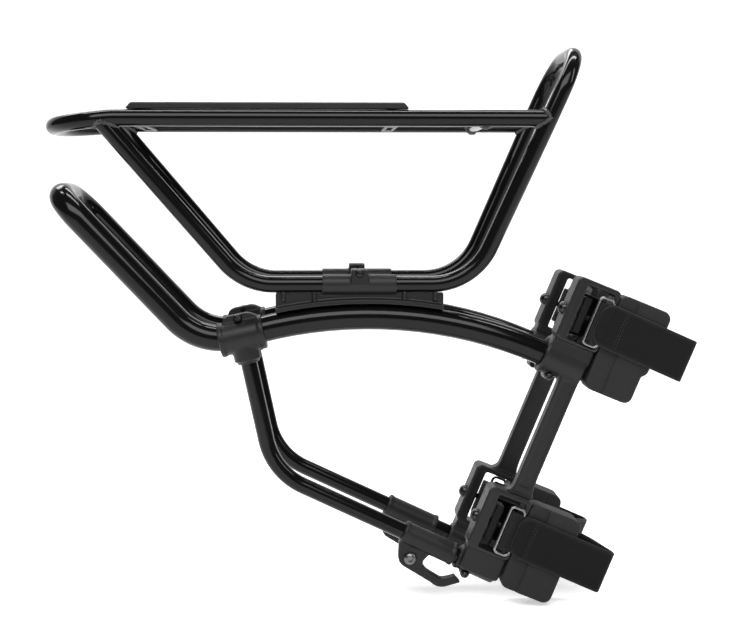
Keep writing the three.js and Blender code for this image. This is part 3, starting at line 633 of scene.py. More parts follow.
def grown(name, mesh, tree, sizes, look):
    # runs a tree on a mesh and keeps the plain result
    piece = makeObject(name, mesh)
    run = piece.modifiers.new("grow", "NODES")
    run.node_group = tree
    values = {**sizes, "Material": look[0]}
    for item in tree.interface.items_tree:
        if item.in_out == "INPUT" and item.name in values:
            run[item.identifier] = values[item.name]
    settle(piece)
    return piece


def pointMesh(name, places):
    # one point for each place, with the angles that turn +Z to its direction
    mesh = bpy.data.meshes.new(name)
    mesh.from_pydata([p * mm for p, _ in places], [], [])
    layer = mesh.attributes.new("turn", "FLOAT_VECTOR", "POINT")
    for k, (_, direction) in enumerate(places):
        layer.data[k].vector = Vector((0, 0, 1)).rotation_difference(direction).to_euler()
    return mesh


def lineMesh(name, points, closed=True):
    mesh = bpy.data.meshes.new(name)
    count = len(points)
    edges = [(k, (k + 1) % count) for k in range(count if closed else count - 1)]
    mesh.from_pydata([p * mm for p in points], edges, [])
    return mesh


def screws(name, body, places, sizes, look, nodes):
    piece = grown(name, pointMesh(name, places), screwNodes, sizes, look)
    smoothShade(piece.data, 30)
    return finish(piece, body, look, nodes)


# tubes
mainSizes = {
    "radius": 11.1,
    "halfWidth": 38,
    "archCentre": (-213.5, -246.5),
    "archRadius": 374.3,
    "frontAngle": 23.4,
    "straight": 37.5,
    "elbowRadius": 52.4,
    "elbowLowX": -337,
    "legSlope": 46.9,
    "rearTipX": -472.4,
    "tipBend": 27,
}


def mainGuide():
    s = mainSizes
    centre = Vector((s["archCentre"][0], 0, s["archCentre"][1]))
    reach = s["archRadius"] + s["elbowRadius"]
    dx = s["elbowLowX"] - centre.x
    elbow = Vector((s["elbowLowX"], 0, centre.z + math.sqrt(reach * reach - dx * dx)))
    rearAngle = math.degrees(math.asin((centre.x - elbow.x) / reach))
    legAlong = unit(-s["legSlope"])
    legPoint = elbow + unit(-90 - s["legSlope"]) * s["elbowRadius"]
    rearPoint = centre + unit(90 + rearAngle) * s["archRadius"]
    frontPoint = centre + unit(90 - s["frontAngle"]) * s["archRadius"]
    along = unit(-s["frontAngle"])
    elbowCorner = meet(legPoint, legAlong, rearPoint, unit(rearAngle))
    archCorner = meet(elbowCorner, unit(rearAngle), frontPoint, along)
    end = frontPoint + along * s["straight"]
    tip = meet(legPoint, legAlong, Vector((s["rearTipX"], 0, 0)), unit(90))
    return end, archCorner, elbowCorner, tip, along


mainEnd, archCorner, elbowCorner, rearTip, mainAlong = mainGuide()


def mainPath():
    s = mainSizes
    half = [mainEnd, archCorner, elbowCorner, rearTip]
    near = [beside(p, -s["halfWidth"]) for p in half]
    far = [beside(p, s["halfWidth"]) for p in reversed(half)]
    bends = [s["archRadius"], s["elbowRadius"], s["tipBend"]]
    return bentPath(near + far, bends + bends[::-1], 2.5)


deckSizes = {
    "radius": 7,
    "railHeight": 293.8,
    "railHalfWidth": 54,
    "railTipX": -479,
    "railTipDrop": 5.5,
    "railBend": 100,
    "noseSlack": 6,
    "cradleHeight": 155.6,
    "cradleHalfWidth": 41,
    "cradleBend": 53,
    "splitX": -220,
    "hoopSlope": 66,
    "hoopFootX": -123.9,
    "hoopTopZ": 348.6,
    "hoopBend": 36,
    "hoopSpreadBend": 60,
    "legFootX": -317,
    "legAngle": 49.6,
    "legTopDrop": 3.5,
    "legTopInset": 1,
    "crossBarX": -115,
    "crossBarDrop": 2,
    "crossBarRadius": 5,
}


def hoopX(height):
    # how far forward the hoop is at a height
    s = deckSizes
    return s["hoopFootX"] + (height - s["cradleHeight"]) / math.tan(math.radians(s["hoopSlope"]))


railFrontX = hoopX(deckSizes["railHeight"])


def railPath():
    s = deckSizes
    noseX = s["railTipX"] + s["railHalfWidth"]
    tipZ = s["railHeight"] - s["railTipDrop"]
    near = [(railFrontX, s["railHeight"]), (noseX, s["railHeight"]), (s["railTipX"], tipZ)]
    width = s["railHalfWidth"]
    corners = [at(x, z, -width) for x, z in near] + [at(x, z, width) for x, z in reversed(near)]
    nose = width - s["noseSlack"]
    return bentPath(corners, [s["railBend"], nose, nose, s["railBend"]])


def hoopPath():
    s = deckSizes
    half = [
        (s["splitX"], s["cradleHeight"], s["cradleHalfWidth"]),
        (s["hoopFootX"], s["cradleHeight"], s["cradleHalfWidth"]),
        (railFrontX, s["railHeight"], s["railHalfWidth"]),
        (hoopX(s["hoopTopZ"]), s["hoopTopZ"], s["railHalfWidth"]),
    ]
    corners = [at(x, z, -w) for x, z, w in half] + [at(x, z, w) for x, z, w in reversed(half)]
    bends = [s["cradleBend"], s["hoopSpreadBend"], s["hoopBend"]]
    return bentPath(corners, bends + bends[::-1])


def rearLegCorners(side):
    s = deckSizes
    topZ = s["railHeight"] - s["legTopDrop"]
    topX = s["legFootX"] - (topZ - s["cradleHeight"]) / math.tan(math.radians(s["legAngle"]))
    return [
        at(topX, topZ, side * (s["railHalfWidth"] - s["legTopInset"])),
        at(s["legFootX"], s["cradleHeight"], side * s["cradleHalfWidth"]),
        at(s["splitX"], s["cradleHeight"], side * s["cradleHalfWidth"]),
    ]


strutSizes = {
    "radius": 7,
    "halfWidth": 38,
    "top": (-315.2, 95),
    "corner": (-293.8, -6),
    "bend": 57.5,
    "slope": 25.3,
    "length": 211,
}
strutTop = Vector((strutSizes["top"][0], 0, strutSizes["top"][1]))
strutCorner = Vector((strutSizes["corner"][0], 0, strutSizes["corner"][1]))
strutAlong = unit(-strutSizes["slope"])
strutEnd = strutCorner + strutAlong * strutSizes["length"]
strutDown = (strutCorner - strutTop).normalized()


def tube(name, path, radius, body, nodes, count=44):
    piece = makeObject(name, makeMesh(name, [sweep(path, radius, count)]))
    smoothShade(piece.data, 40)
    return finish(piece, body, paint, nodes)


tube("mainTube", mainPath(), mainSizes["radius"], "frame", ["main_tube"], 56)
tube("railLoop", railPath(), deckSizes["radius"], "deck", ["rail_loop"])
tube("frontHoop", hoopPath(), deckSizes["radius"], "deck", ["front_hoop"])
crossEnds = [
    at(deckSizes["crossBarX"], deckSizes["railHeight"] - deckSizes["crossBarDrop"], y)
    for y in (-deckSizes["railHalfWidth"], deckSizes["railHalfWidth"])
]
crossAlong = (crossEnds[1] - crossEnds[0]).normalized()
tube(
    "crossBar",
    [(crossEnds[0], crossAlong), (crossEnds[1], crossAlong)],
    deckSizes["crossBarRadius"],
    "deck",
    ["cross_bar"],
)
for name, side in sides.items():
    legPath = bentPath(rearLegCorners(side), [deckSizes["cradleBend"]])
    tube(f"rearLeg_{name}", legPath, deckSizes["radius"], "deck", [f"rear_leg_{name}"])
    strutPoints = [beside(p, side * strutSizes["halfWidth"]) for p in (strutTop, strutCorner, strutEnd)]
    strutPath = bentPath(strutPoints, [strutSizes["bend"]])
    tube(f"lowerStrut_{name}", strutPath, strutSizes["radius"], "frame", [f"lower_strut_{name}"])
print("tubes made")

# weld beads where the deck's tubes meet
beadSizes = {"Pitch": 0.0016, "Width": 0.0021, "Length": 0.0013, "Seed": 3}


def saddleRing(point, along, radius, tubePoint, tubeAlong, tubeRadius, steps=60):
    # the line where one round tube runs into another
    across = along.orthogonal().normalized()
    up = along.cross(across)
    found = []
    for k in range(steps):
        angle = 2 * math.pi * k / steps
        start = point + (across * math.cos(angle) + up * math.sin(angle)) * radius - tubePoint
        a = along - tubeAlong * along.dot(tubeAlong)
        b = start - tubeAlong * start.dot(tubeAlong)
        qa = a.dot(a)
        qb = 2 * a.dot(b)
        qc = b.dot(b) - tubeRadius * tubeRadius
        inside = max(0.0, qb * qb - 4 * qa * qc)
        t = (-qb - math.sqrt(inside)) / (2 * qa)
        found.append(start + along * t + tubePoint)
    return found


def weld(name, ring):
    piece = grown(name, lineMesh(name, ring), beadNodes, beadSizes, weldPaint)
    smoothShade(piece.data, None)
    return finish(piece, "deck", weldPaint)


railLine = Vector((1, 0, 0))
hoopUp = unit(deckSizes["hoopSlope"])
for name, side in sides.items():
    size = deckSizes["radius"]
    rail = deckSizes["railHeight"], side * deckSizes["railHalfWidth"]
    railPoint = at(0, *rail)
    top, foot, _ = rearLegCorners(side)
    legUp = (top - foot).normalized()
    weld(f"legWeld_{name}", saddleRing(foot, legUp, size, railPoint, railLine, size))
    railRing = saddleRing(at(-300, *rail), railLine, size, at(railFrontX, *rail), hoopUp, size)
    weld(f"railWeld_{name}", railRing)
    crossStart = at(deckSizes["crossBarX"], deckSizes["railHeight"] - deckSizes["crossBarDrop"], 0)
    outward = Vector((0, side, 0))
    crossRing = saddleRing(crossStart, outward, deckSizes["crossBarRadius"], railPoint, railLine, size)
    weld(f"barWeld_{name}", crossRing)
print("welds made")

# bag plate and its clamp bars
plateSizes = {
    "rearX": -413,
    "frontX": -178.3,
    "bottom": 301.1,
    "thickness": 5.7,
    "halfWidth": 56,
    "bevel": 5,
    "screwY": 34,
    "holeRadius": 2.3,
    "boreRadius": 4.8,
    "boreDepth": 2.4,
    "seatDepth": 2.1,
    "grooveYs": (-44, -22, 22, 44),
    "grooveHalf": 0.9,
    "grooveDepth": 0.8,
    "grooveInset": 14,
    "rearInset": 9,
    "frontInset": 14,
    "slotHalfWidth": 14,
    "slotLength": 77.3,
    "slotBridge": 14,
    "slotCorner": 5,
    "clampLength": 11,
    "clampTop": 297.3,
    "clampBottom": 287.3,
    "clampReach": 51,
    "clampSlot": (2.5, 26, 4),
}
plateScrew = screwSizes(head=4.2, height=2.0, socket=1.5, depth=1.1, shank=2.0, reach=17.0)
plateScrewXs = {
    "rear": plateSizes["rearX"] + plateSizes["rearInset"],
    "front": plateSizes["frontX"] - plateSizes["frontInset"],
}
plateTop = plateSizes["bottom"] + plateSizes["thickness"]


def bagPlate():
    s = plateSizes
    profile = [
        (s["rearX"], s["bottom"]),
        (s["frontX"], s["bottom"]),
        (s["frontX"] - s["bevel"], plateTop),
        (s["rearX"] + s["bevel"], plateTop),
    ]
    cuts = []
    for x in plateScrewXs.values():
        for y in (-s["screwY"], s["screwY"]):
            above = (x, y, plateTop + 1)
            cuts.append(bar((x, y, s["bottom"] - 1), above, s["holeRadius"]))
            cuts.append(bar((x, y, plateTop - s["boreDepth"]), above, s["boreRadius"]))
    middle = (s["frontX"] + s["rearX"]) / 2
    for end in (-1, 1):
        x = middle + end * (s["slotLength"] + s["slotBridge"]) / 2
        reach = s["slotLength"] / 2
        width = s["slotHalfWidth"]
        outline = roundedRectangle(x - reach, x + reach, -width, width, s["slotCorner"])
        verts, faces = slab(outline, s["bottom"] - 1, plateTop + 1)
        cuts.append(([Vector((v.x, v.z, v.y)) for v in verts], faces))
    # two shallow grooves run along the top beside the slots, and one along each long edge
    rear = s["rearX"] + s["grooveInset"]
    front = s["frontX"] - s["grooveInset"]
    for y in s["grooveYs"]:
        half = s["grooveHalf"]
        cuts.append(block(rear, front, y - half, y + half, plateTop - s["grooveDepth"], plateTop + 1))
    return carve("bagPlate", [slab(profile, -s["halfWidth"], s["halfWidth"])], cuts, 1.0, 2)


def plateClamp(x, end):
    s = plateSizes
    half = s["clampLength"] / 2
    shape = block(x - half, x + half, -s["clampReach"], s["clampReach"], s["clampBottom"], s["clampTop"])
    cuts = []
    for side in (-1, 1):
        rail = side * deckSizes["railHalfWidth"], deckSizes["railHeight"]
        cuts.append(bar((x - 20, *rail), (x + 20, *rail), deckSizes["radius"] + 0.3))
    halfLength, halfWidth, depth = s["clampSlot"]
    low = s["clampBottom"]
    cuts.append(block(x - halfLength, x + halfLength, -halfWidth, halfWidth, low - 1, low + depth))
    return carve(f"plateClamp_{end}", [shape], cuts)


finish(bagPlate(), "deck", plateMoulding, ["bag_plate"])
for end, x in plateScrewXs.items():
    finish(plateClamp(x, end), "deck", moulded, [f"plate_clamp_{end}"])
plateScrewY = plateSizes["screwY"]
plateScrewSeats = [
    Vector((x, y, plateTop - plateSizes["seatDepth"]))
    for x in plateScrewXs.values()
    for y in (-plateScrewY, plateScrewY)
]
screws(
    "plateScrews",
    "deck",
    [(seat, Vector((0, 0, 1))) for seat in plateScrewSeats],
    plateScrew,
    blackSteel,
    [f"plate_screw_{end}_{name}" for end in plateScrewXs for name in sides],
)
print("plate made")

# saddles
saddleSizes = {
    "rearX": -290.8,
    "frontX": -148.8,
    "lip": 4.2,
    "lipHalfWidth": 9,
    "lipY": 39,
    "web": 5,
    "clampRearX": -251.6,
    "clampFrontX": -188.4,
    "clampWall": 1.6,
    "lugHalf": 7,
    "lugReach": 9.5,
    "lugRise": 13,
    "screwRise": 9.6,
    "screwHole": 1.8,
    "ribXs": (-284, -258, -182, -156),
    "ribHalf": 1.5,
    "ribHalfWidth": 4.5,
    "ribHeights": (-14, -5),
    "play": 0.3,
}
saddleScrew = screwSizes(head=3.2, height=2.6, socket=1.4, depth=1.3, shank=1.5, reach=19.0)


def saddleArc(radius, start, end, steps=40):
    x, z = mainSizes["archCentre"]
    a = math.asin((start - x) / radius)
    b = math.asin((end - x) / radius)
    angles = [a + (b - a) * k / steps for k in range(steps + 1)]
    return [(x + radius * math.sin(t), z + radius * math.cos(t)) for t in angles]


def saddle(side, name):
    s = saddleSizes
    tubeRadius = deckSizes["radius"]
    base = mainSizes["archRadius"] + mainSizes["radius"] + s["play"]
    height = deckSizes["cradleHeight"]
    y = side * deckSizes["cradleHalfWidth"]
    x = deckSizes["splitX"]
    lipY = side * s["lipY"]
    lip = saddleArc(base, s["rearX"], s["frontX"]) + saddleArc(base + s["lip"], s["frontX"], s["rearX"])
    web = saddleArc(base + s["lip"] / 2, s["rearX"], s["frontX"])
    web += [(s["frontX"], height - 1), (s["rearX"], height - 1)]
    lug = (x - s["lugHalf"], x + s["lugHalf"], y - s["lugReach"], y + s["lugReach"])
    adds = [
        slab(lip, lipY - s["lipHalfWidth"], lipY + s["lipHalfWidth"]),
        slab(web, y - s["web"] / 2, y + s["web"] / 2),
        bar((s["clampRearX"], y, height), (s["clampFrontX"], y, height), tubeRadius + s["clampWall"]),
        block(*lug, height - 1, height + s["lugRise"]),
    ]
    ribLow, ribHigh = s["ribHeights"]
    for ribX in s["ribXs"]:
        rib = (ribX - s["ribHalf"], ribX + s["ribHalf"], y - s["ribHalfWidth"], y + s["ribHalfWidth"])
        adds.append(block(*rib, height + ribLow, height + ribHigh))
    rear = s["rearX"] - 8
    front = s["frontX"] + 8
    under = saddleArc(base, rear, front) + saddleArc(base - 14, front, rear)
    boltZ = height + s["screwRise"]
    cuts = [
        bar((s["rearX"] - 20, y, height), (s["frontX"] + 20, y, height), tubeRadius + s["play"]),
        block(s["clampRearX"] - 1, s["clampFrontX"] + 1, y - 1, y + 1, height, height + 20),
        bar((x, y - 20, boltZ), (x, y + 20, boltZ), s["screwHole"]),
        slab(under, y - 20, y + 20),
    ]
    return carve(f"saddle_{name}", adds, cuts, 0.75, 3)


saddleScrewPlaces = []
for name, side in sides.items():
    finish(saddle(side, name), "deck", moulded, [f"saddle_{name}"])
    seat = side * (deckSizes["cradleHalfWidth"] + saddleSizes["lugReach"] + 0.1)
    height = deckSizes["cradleHeight"] + saddleSizes["screwRise"]
    saddleScrewPlaces.append((at(deckSizes["splitX"], height, seat), Vector((0, side, 0))))
screws(
    "saddleScrews",
    "deck",
    saddleScrewPlaces,
    saddleScrew,
    blackSteel,
    [f"saddle_screw_{name}" for name in sides],
)
print("saddles made")

# collars
collarSizes = {
    "centre": (-319.6, 111.6),
    "tilt": 12,
    "length": 39,
    "wall": 2.7,
    "flangeRise": 5.4,
    "flangeHalf": 4.2,
    "boltRise": 1.8,
    "root": 9,
    "socketRadius": 9.4,
    "socketReach": 6.5,
    "skirtRadius": 11.6,
    "skirtReach": 4,
    "band": (4, 0.9),
    "boltHole": 1.9,
    "boltBore": 4.2,
    "slitHalf": 0.45,
    "slitDepth": 0.8,
}
collarBolt = screwSizes(head=3.8, height=3.2, socket=1.8, depth=1.5, shank=1.6, reach=11.0)
collarTurn = Matrix.Rotation(math.radians(-collarSizes["tilt"]), 4, "Y")
collarCentre = Vector((collarSizes["centre"][0], 0, collarSizes["centre"][1]))
collarRadius = mainSizes["radius"] + collarSizes["wall"]


def inFrame(turn, origin, shape):
    # moves a shape from the rack's own axes into a turned frame at origin
    verts, faces = shape
    back = turn.inverted()
    return [back @ (v - origin) for v in verts], faces


def collar(side, name):
    s = collarSizes
    y = side * mainSizes["halfWidth"]
    half = s["length"] / 2
    top = collarRadius + s["flangeRise"]
    low = collarRadius + 1
    flange = [
        (-14, 4), (16, 4), (16, low), (12, top - 1.5), (8, top), (-8, top), (-12, top - 1.5), (-14, low),
    ]
    bandLength, bandRise = s["band"]
    here = (collarTurn, collarCentre)

    def strutBar(a, b, radius):
        start = strutTop + strutDown * a
        end = strutTop + strutDown * b
        return inFrame(*here, bar(beside(start, y), beside(end, y), radius))

    adds = [
        bar((-half, y, 0), (half, y, 0), collarRadius),
        bar((-half, y, 0), (-half + bandLength, y, 0), collarRadius + bandRise),
        bar((half - bandLength, y, 0), (half, y, 0), collarRadius + bandRise),
        slab(flange, y - s["flangeHalf"], y + s["flangeHalf"]),
        strutBar(-s["root"], s["socketReach"], s["socketRadius"]),
        strutBar(-s["root"], s["skirtReach"], s["skirtRadius"]),
    ]
    boltZ = collarRadius + s["boltRise"]
    slit = (-half - 2, half + 2, y - s["slitHalf"], y + s["slitHalf"])
    cuts = [
        inFrame(*here, sweep(mainPath(), mainSizes["radius"] + 0.1, 40)),
        strutBar(0, 40, strutSizes["radius"] + 0.1),
        bar((0, y - 12, boltZ), (0, y + 12, boltZ), s["boltHole"]),
        bar((0, y + side * s["flangeHalf"], boltZ), (0, y + side * 20, boltZ), s["boltBore"]),
        block(*slit, collarRadius - s["slitDepth"], top + 2),
        block(*slit, -collarRadius - 2, -collarRadius + s["slitDepth"]),
    ]
    place = Matrix.Translation(collarCentre * mm) @ collarTurn
    return carve(f"collar_{name}", adds, cuts, 0.7, 3, place)


collarBoltPlaces = []
for name, side in sides.items():
    nodes = [f"collar_outer_{name}", f"collar_inner_{name}"]
    finish(collar(side, name), "frame", moulded, nodes)
    spot = collarCentre + unit(collarSizes["tilt"] + 90) * (collarRadius + collarSizes["boltRise"])
    seat = side * (mainSizes["halfWidth"] + collarSizes["flangeHalf"] + 0.1)
    collarBoltPlaces.append((beside(spot, seat), Vector((0, side, 0))))
screws(
    "collarBolts",
    "frame",
    collarBoltPlaces,
    collarBolt,
    blackSteel,
    [f"collar_bolt_{name}" for name in sides],
)
print("collars made")

# side brackets, in the clamp's own frame: u forward along x, v down the stay against z
stayTilt = 22.3
stayTurn = Matrix.Rotation(math.radians(stayTilt), 4, "Y")
noShift = Vector((0, 0, 0))
bracketSizes = {
    "halfWidth": 44.5,
    "depth": 11.5,
    "rearU": -94,
    "frontU": -55.5,
    "rearBar": 9.5,
    "frontBar": 4.5,
    "topBar": 4.7,
    "height": 56,
    "windowHeight": 48.5,
    "upperSleeve": 15.6,
    "lowerSleeve": 9.6,
    "sleeveLength": 38,
    "lugInset": 11.5,
    "lugRadius": 4,
    "lugHalfWidth": 9,
    "armRearU": -75,
    "armFrontU": -56,
    "armHalf": 6,
    "armWaist": 2.6,
    "pocket": 0.5,
    "screwV": 30.5,
    "screwRoom": 2.8,
    "rim": 3.4,
    "slitHalf": 0.8,
    "slitLength": 22,
}
pinchBolt = screwSizes(head=3.4, height=3.0, socket=1.6, depth=1.5, shank=1.6, reach=19.5)


def sleeveEnds(level):
    if level == "upper":
        return mainEnd, mainAlong, mainSizes["radius"], bracketSizes["upperSleeve"], mainSizes["halfWidth"]
    return strutEnd, strutAlong, strutSizes["radius"], bracketSizes["lowerSleeve"], strutSizes["halfWidth"]


def lugPoint(level):
    end, along, _, radius, _ = sleeveEnds(level)
    rear = end + along * (2 - bracketSizes["sleeveLength"])
    across = Vector((along.z, 0, -along.x))
    return rear + along * bracketSizes["lugInset"] + across * (radius + 0.2)


def sleeveShapes(level, side):
    s = bracketSizes
    end, along, tubeRadius, radius, width = sleeveEnds(level)
    y = side * width
    lug = lugPoint(level)

    def run(a, b, size):
        start = end + along * a
        stop = end + along * b
        return inFrame(stayTurn, noShift, bar(beside(start, y), beside(stop, y), size, 64))

    def cross(reach, size):
        return inFrame(stayTurn, noShift, bar(beside(lug, y - reach), beside(lug, y + reach), size))

    rear = 2 - s["sleeveLength"]
    adds = [
        run(rear, 0.6, radius),
        run(rear, 2, radius - 1.6),
        run(rear, rear + 3.2, radius + 0.7),
        cross(s["lugHalfWidth"], s["lugRadius"]),
    ]
    cuts = [run(-80, 0.3, tubeRadius + 0.1), cross(20, 2)]
    # the slit that lets the sleeve close on its tube
    low = end + along * rear
    across = Vector((along.z, 0, -along.x))
    cornerA = low - along * 2
    cornerB = low + along * s["slitLength"]
    outline = [
        cornerA + across * (tubeRadius - 1),
        cornerB + across * (tubeRadius - 1),
        cornerB + across * (radius + 8),
        cornerA + across * (radius + 8),
    ]
    slit = slab([(p.x, p.z) for p in outline], y - s["slitHalf"], y + s["slitHalf"])
    cuts.append(inFrame(stayTurn, noShift, slit))
    return adds, cuts


def sideBracket(side, name):
    s = bracketSizes
    y = side * s["halfWidth"]
    adds = []
    cuts = []
    for level, facts in levels.items():
        v = facts["frameV"]
        outline = roundedRectangle(s["rearU"], s["frontU"], -v - s["height"], -v, 4)
        adds.append(slab(outline, y - s["depth"], y + s["depth"]))
        # a raised rim round the frame's rear bar
        rim = roundedRectangle(s["rearU"] - 0.4, s["rearU"] + s["rim"], -v - s["height"] + 2, -v - 2, 1.8)
        adds.append(slab(rim, y - s["depth"] - 0.5, y + s["depth"] + 0.5))
        low = -v - s["topBar"] - s["windowHeight"]
        window = roundedRectangle(
            s["rearU"] + s["rearBar"], s["frontU"] - s["frontBar"], low, -v - s["topBar"], 1.5
        )
        cuts.append(slab(window, y - s["depth"] - 2, y + s["depth"] + 2))
        z = -v - s["screwV"]
        cuts.append(bar((s["rearU"] - 3, y, z), (s["rearU"] + s["rearBar"] + 1, y, z), s["screwRoom"]))
        moreAdds, moreCuts = sleeveShapes(level, side)
        adds += moreAdds
        cuts += moreCuts
    lowerV = levels["lower"]["frameV"]
    upperV = levels["upper"]["frameV"]
    blockY = side * (s["halfWidth"] - 1.5)
    depth = s["depth"] - 2
    lowBlock = roundedRectangle(s["rearU"] + 2, s["frontU"] - 1, -lowerV - 77, -lowerV - 52, 3)
    highBlock = roundedRectangle(s["rearU"] + 1, s["frontU"] - 1, -upperV - 70, -upperV - 50, 2)
    adds.append(slab(lowBlock, blockY - depth, blockY + depth))
    adds.append(slab(highBlock, blockY - depth, blockY + depth))
    low = lowerV + 4
    high = -lowerV
    front = s["armFrontU"]
    waist = front - s["armWaist"]
    rear = s["armRearU"]
    foot = s["rearU"] + 9
    arm = [(front, 72), (front, 64)]
    arm += curveTo((front, 64), (waist, 60), (waist, 48))
    arm += [(waist, high + 22)]
    arm += curveTo(arm[-1], (waist, high + 6), (front, high + 2))
    arm += [(front, -low), (s["rearU"] + 4, -low), (foot, high)]
    arm += curveTo((foot, high), (rear, high), (rear, high + 9))
    arm += [(rear, 50)]
    arm += curveTo((rear, 50), (rear, 66), (rear - 8, 72))
    adds.append(slab(arm, y - s["armHalf"], y + s["armHalf"]))
    pocket = roundedRectangle(rear + 3, waist - 2.4, high + 8, 52, 3)
    faces = sorted((y + side * (s["armHalf"] - s["pocket"]), y + side * (s["armHalf"] + 1)))
    cuts.append(slab(pocket, *faces))
    return carve(f"sideBracket_{name}", adds, cuts, 0.85, 3, stayTurn)


nearBracket = sideBracket(-1, "near")
farBracket = mirrorCopy(nearBracket, "sideBracket_far")
finish(nearBracket, "frame", moulded, ["side_bracket_near"])
finish(farBracket, "frame", moulded, ["side_bracket_far"])
pinchPlaces = []
for level in levels:
    lug = lugPoint(level)
    for side in sides.values():
        seat = side * (mainSizes["halfWidth"] + bracketSizes["lugHalfWidth"] + 0.1)
        pinchPlaces.append((beside(lug, seat), Vector((0, side, 0))))
screws(
    "pinchBolts",
    "frame",
    pinchPlaces,
    pinchBolt,
    blackSteel,
    [f"pinch_bolt_{level}_{name}" for level in levels for name in sides],
)
print("brackets made")

# seatstay pads
padSizes = {
    "rearU": -55.2,
    "stepU": -39,
    "frontU": -9,
    "halfWidth": 14,
    "neck": 12,
    "round": 7,
    "grooveRadius": 13,
    "grooveU": 0.5,
    "footRise": 26,
    "ribUs": (-24.6, -23.2),
    "ribDepth": 0.8,
}


def stayPad(level, side, name):
    s = padSizes
    v = levels[level]["frameV"]
    end = levels[level]["padEndV"]
    y = side * bracketSizes["halfWidth"]
    step = levels[level]["footStep"]
    outline = roundedRectangle(s["rearU"], s["frontU"] - step, -end, -v - 1, s["round"], 10)
    upper = roundedRectangle(s["rearU"], s["frontU"], -end + s["footRise"], -v - 1, s["round"], 10)
    cuts = []
    for face in (-1, 1):
        a = y + face * s["neck"]
        b = y + face * (s["halfWidth"] + 2)
        cuts.append(block(s["rearU"] - 1, s["stepU"], a, b, -end - 1, -v + 1))
        # the rib line down each cheek
        c = y + face * (s["halfWidth"] - s["ribDepth"])
        cuts.append(block(*s["ribUs"], c, b, -end - 1, -v + 1))
    cuts.append(bar((s["grooveU"], y, -end - 5), (s["grooveU"], y, -v + 5), s["grooveRadius"], 64))
    adds = [slab(shape, y - s["halfWidth"], y + s["halfWidth"]) for shape in (outline, upper)]
    piece = carve(f"stayPad_{level}_{name}", adds, cuts, 0.85, 6, stayTurn)
    return finish(piece, "frame", rubber, [f"stay_pad_{level}_{name}"])


# straps, hook strips, rings, carriages and tension screws
strapSizes = {
    "width": 37,
    "thickness": 2.4,
    "inner": 14.8,
    "startU": -81.5,
    "leaveU": 5,
    "leaveBend": 22,
    "tailRound": 10,
    "bow": 0.5,
    "fold": 3.2,
    "slope": 0.03,
    "stitchUs": (-46.5, -44.5),
    "stitchHalf": 14.5,
}
hookSizes = {
    "width": 34,
    "thickness": 1.5,
    "frontU": -46,
    "eye": 1.9,
    "height": 13.7,
    "eyeU": -66.4,
    "patchUs": (-65.4, -57),
    "patchHalf": 16,
}
ringSizes = {"wire": 1.3, "halfHeight": 21, "rearU": -71.3, "frontU": -58.6, "h": 13.1, "bend": 3.5}
carriageSizes = {"rearU": -81.5, "frontU": -74.5, "halfHeight": 16, "outer": 3.6, "hole": 2.8}
tensionSizes = {"seatU": -94.1, "endU": -71, "radius": 2.5, "pitch": 1.0, "groove": 0.22, "tip": 0.9}
tensionHead = screwSizes(head=5.8, height=4.9, socket=2.5, depth=2.4, shank=2.2, reach=8.0)
slopeStartU = -60  # from here forward the strap droops


def ribbon(path, width, thickness, centreZ, y, side, roundStart, roundEnd, slope=0.0):
    # a flat woven strip along a path in the u and h plane, with its UV map in metres
    lengths = [0.0]
    for a, b in zip(path, path[1:]):
        lengths.append(lengths[-1] + math.dist(a, b))
    total = lengths[-1]
    edge = thickness / 2
    outline = [(t, 1) for t in np.linspace(-1, 1, 15)]
    outline += [(None, a) for a in (60, 30, 0, -30, -60)]
    outline += [(t, -1) for t in np.linspace(1, -1, 15)]
    outline += [(None, a) for a in (240, 210, 180, 150, 120)]
    verts = []
    coords = []
    for i, (u, h) in enumerate(path):
        a = path[max(i - 1, 0)]
        b = path[min(i + 1, len(path) - 1)]
        du = b[0] - a[0]
        dh = b[1] - a[1]
        size = math.hypot(du, dh)
        nu = -dh / size
        nh = du / size
        half = width / 2
        for distance, radius in ((lengths[i], roundStart), (total - lengths[i], roundEnd)):
            if distance < radius:
                lost = radius - math.sqrt(max(0.0, radius * radius - (radius - distance) ** 2))
                half = min(half, width / 2 - lost)
        flat = half - edge
        for t, kind in outline:
            if t is None:
                angle = math.radians(kind)
                across = math.copysign(flat, math.cos(angle)) + edge * math.cos(angle)
                rise = edge * math.sin(angle)
            else:
                across = t * flat
                rise = kind * edge
            drop = slope * max(0.0, u - slopeStartU)
            verts.append(Vector((u + nu * rise, y + side * (h + nh * rise), centreZ + across - drop)))
            rimAcross = math.copysign(max(0.0, width / 2 - half + abs(across)), across)
            coords.append((lengths[i] * mm, rimAcross * mm))
    count = len(outline)
    faces = []
    for i in range(len(path) - 1):
        for k in range(count):
            n = (k + 1) % count
            faces.append((i * count + k, i * count + n, (i + 1) * count + n, (i + 1) * count + k))
    faces.append(tuple(range(count)))
    faces.append(tuple(range((len(path) - 1) * count, len(path) * count)))
    return verts, faces, coords


def ribbonPiece(name, made):
    verts, faces, coords = made
    mesh = makeMesh(name, [(verts, faces)], stayTurn)
    layer = mesh.uv_layers.new(name="weave")
    for loop in mesh.loops:
        layer.data[loop.index].uv = coords[loop.vertex_index]
    smoothShade(mesh, 60)
    return makeObject(name, mesh)


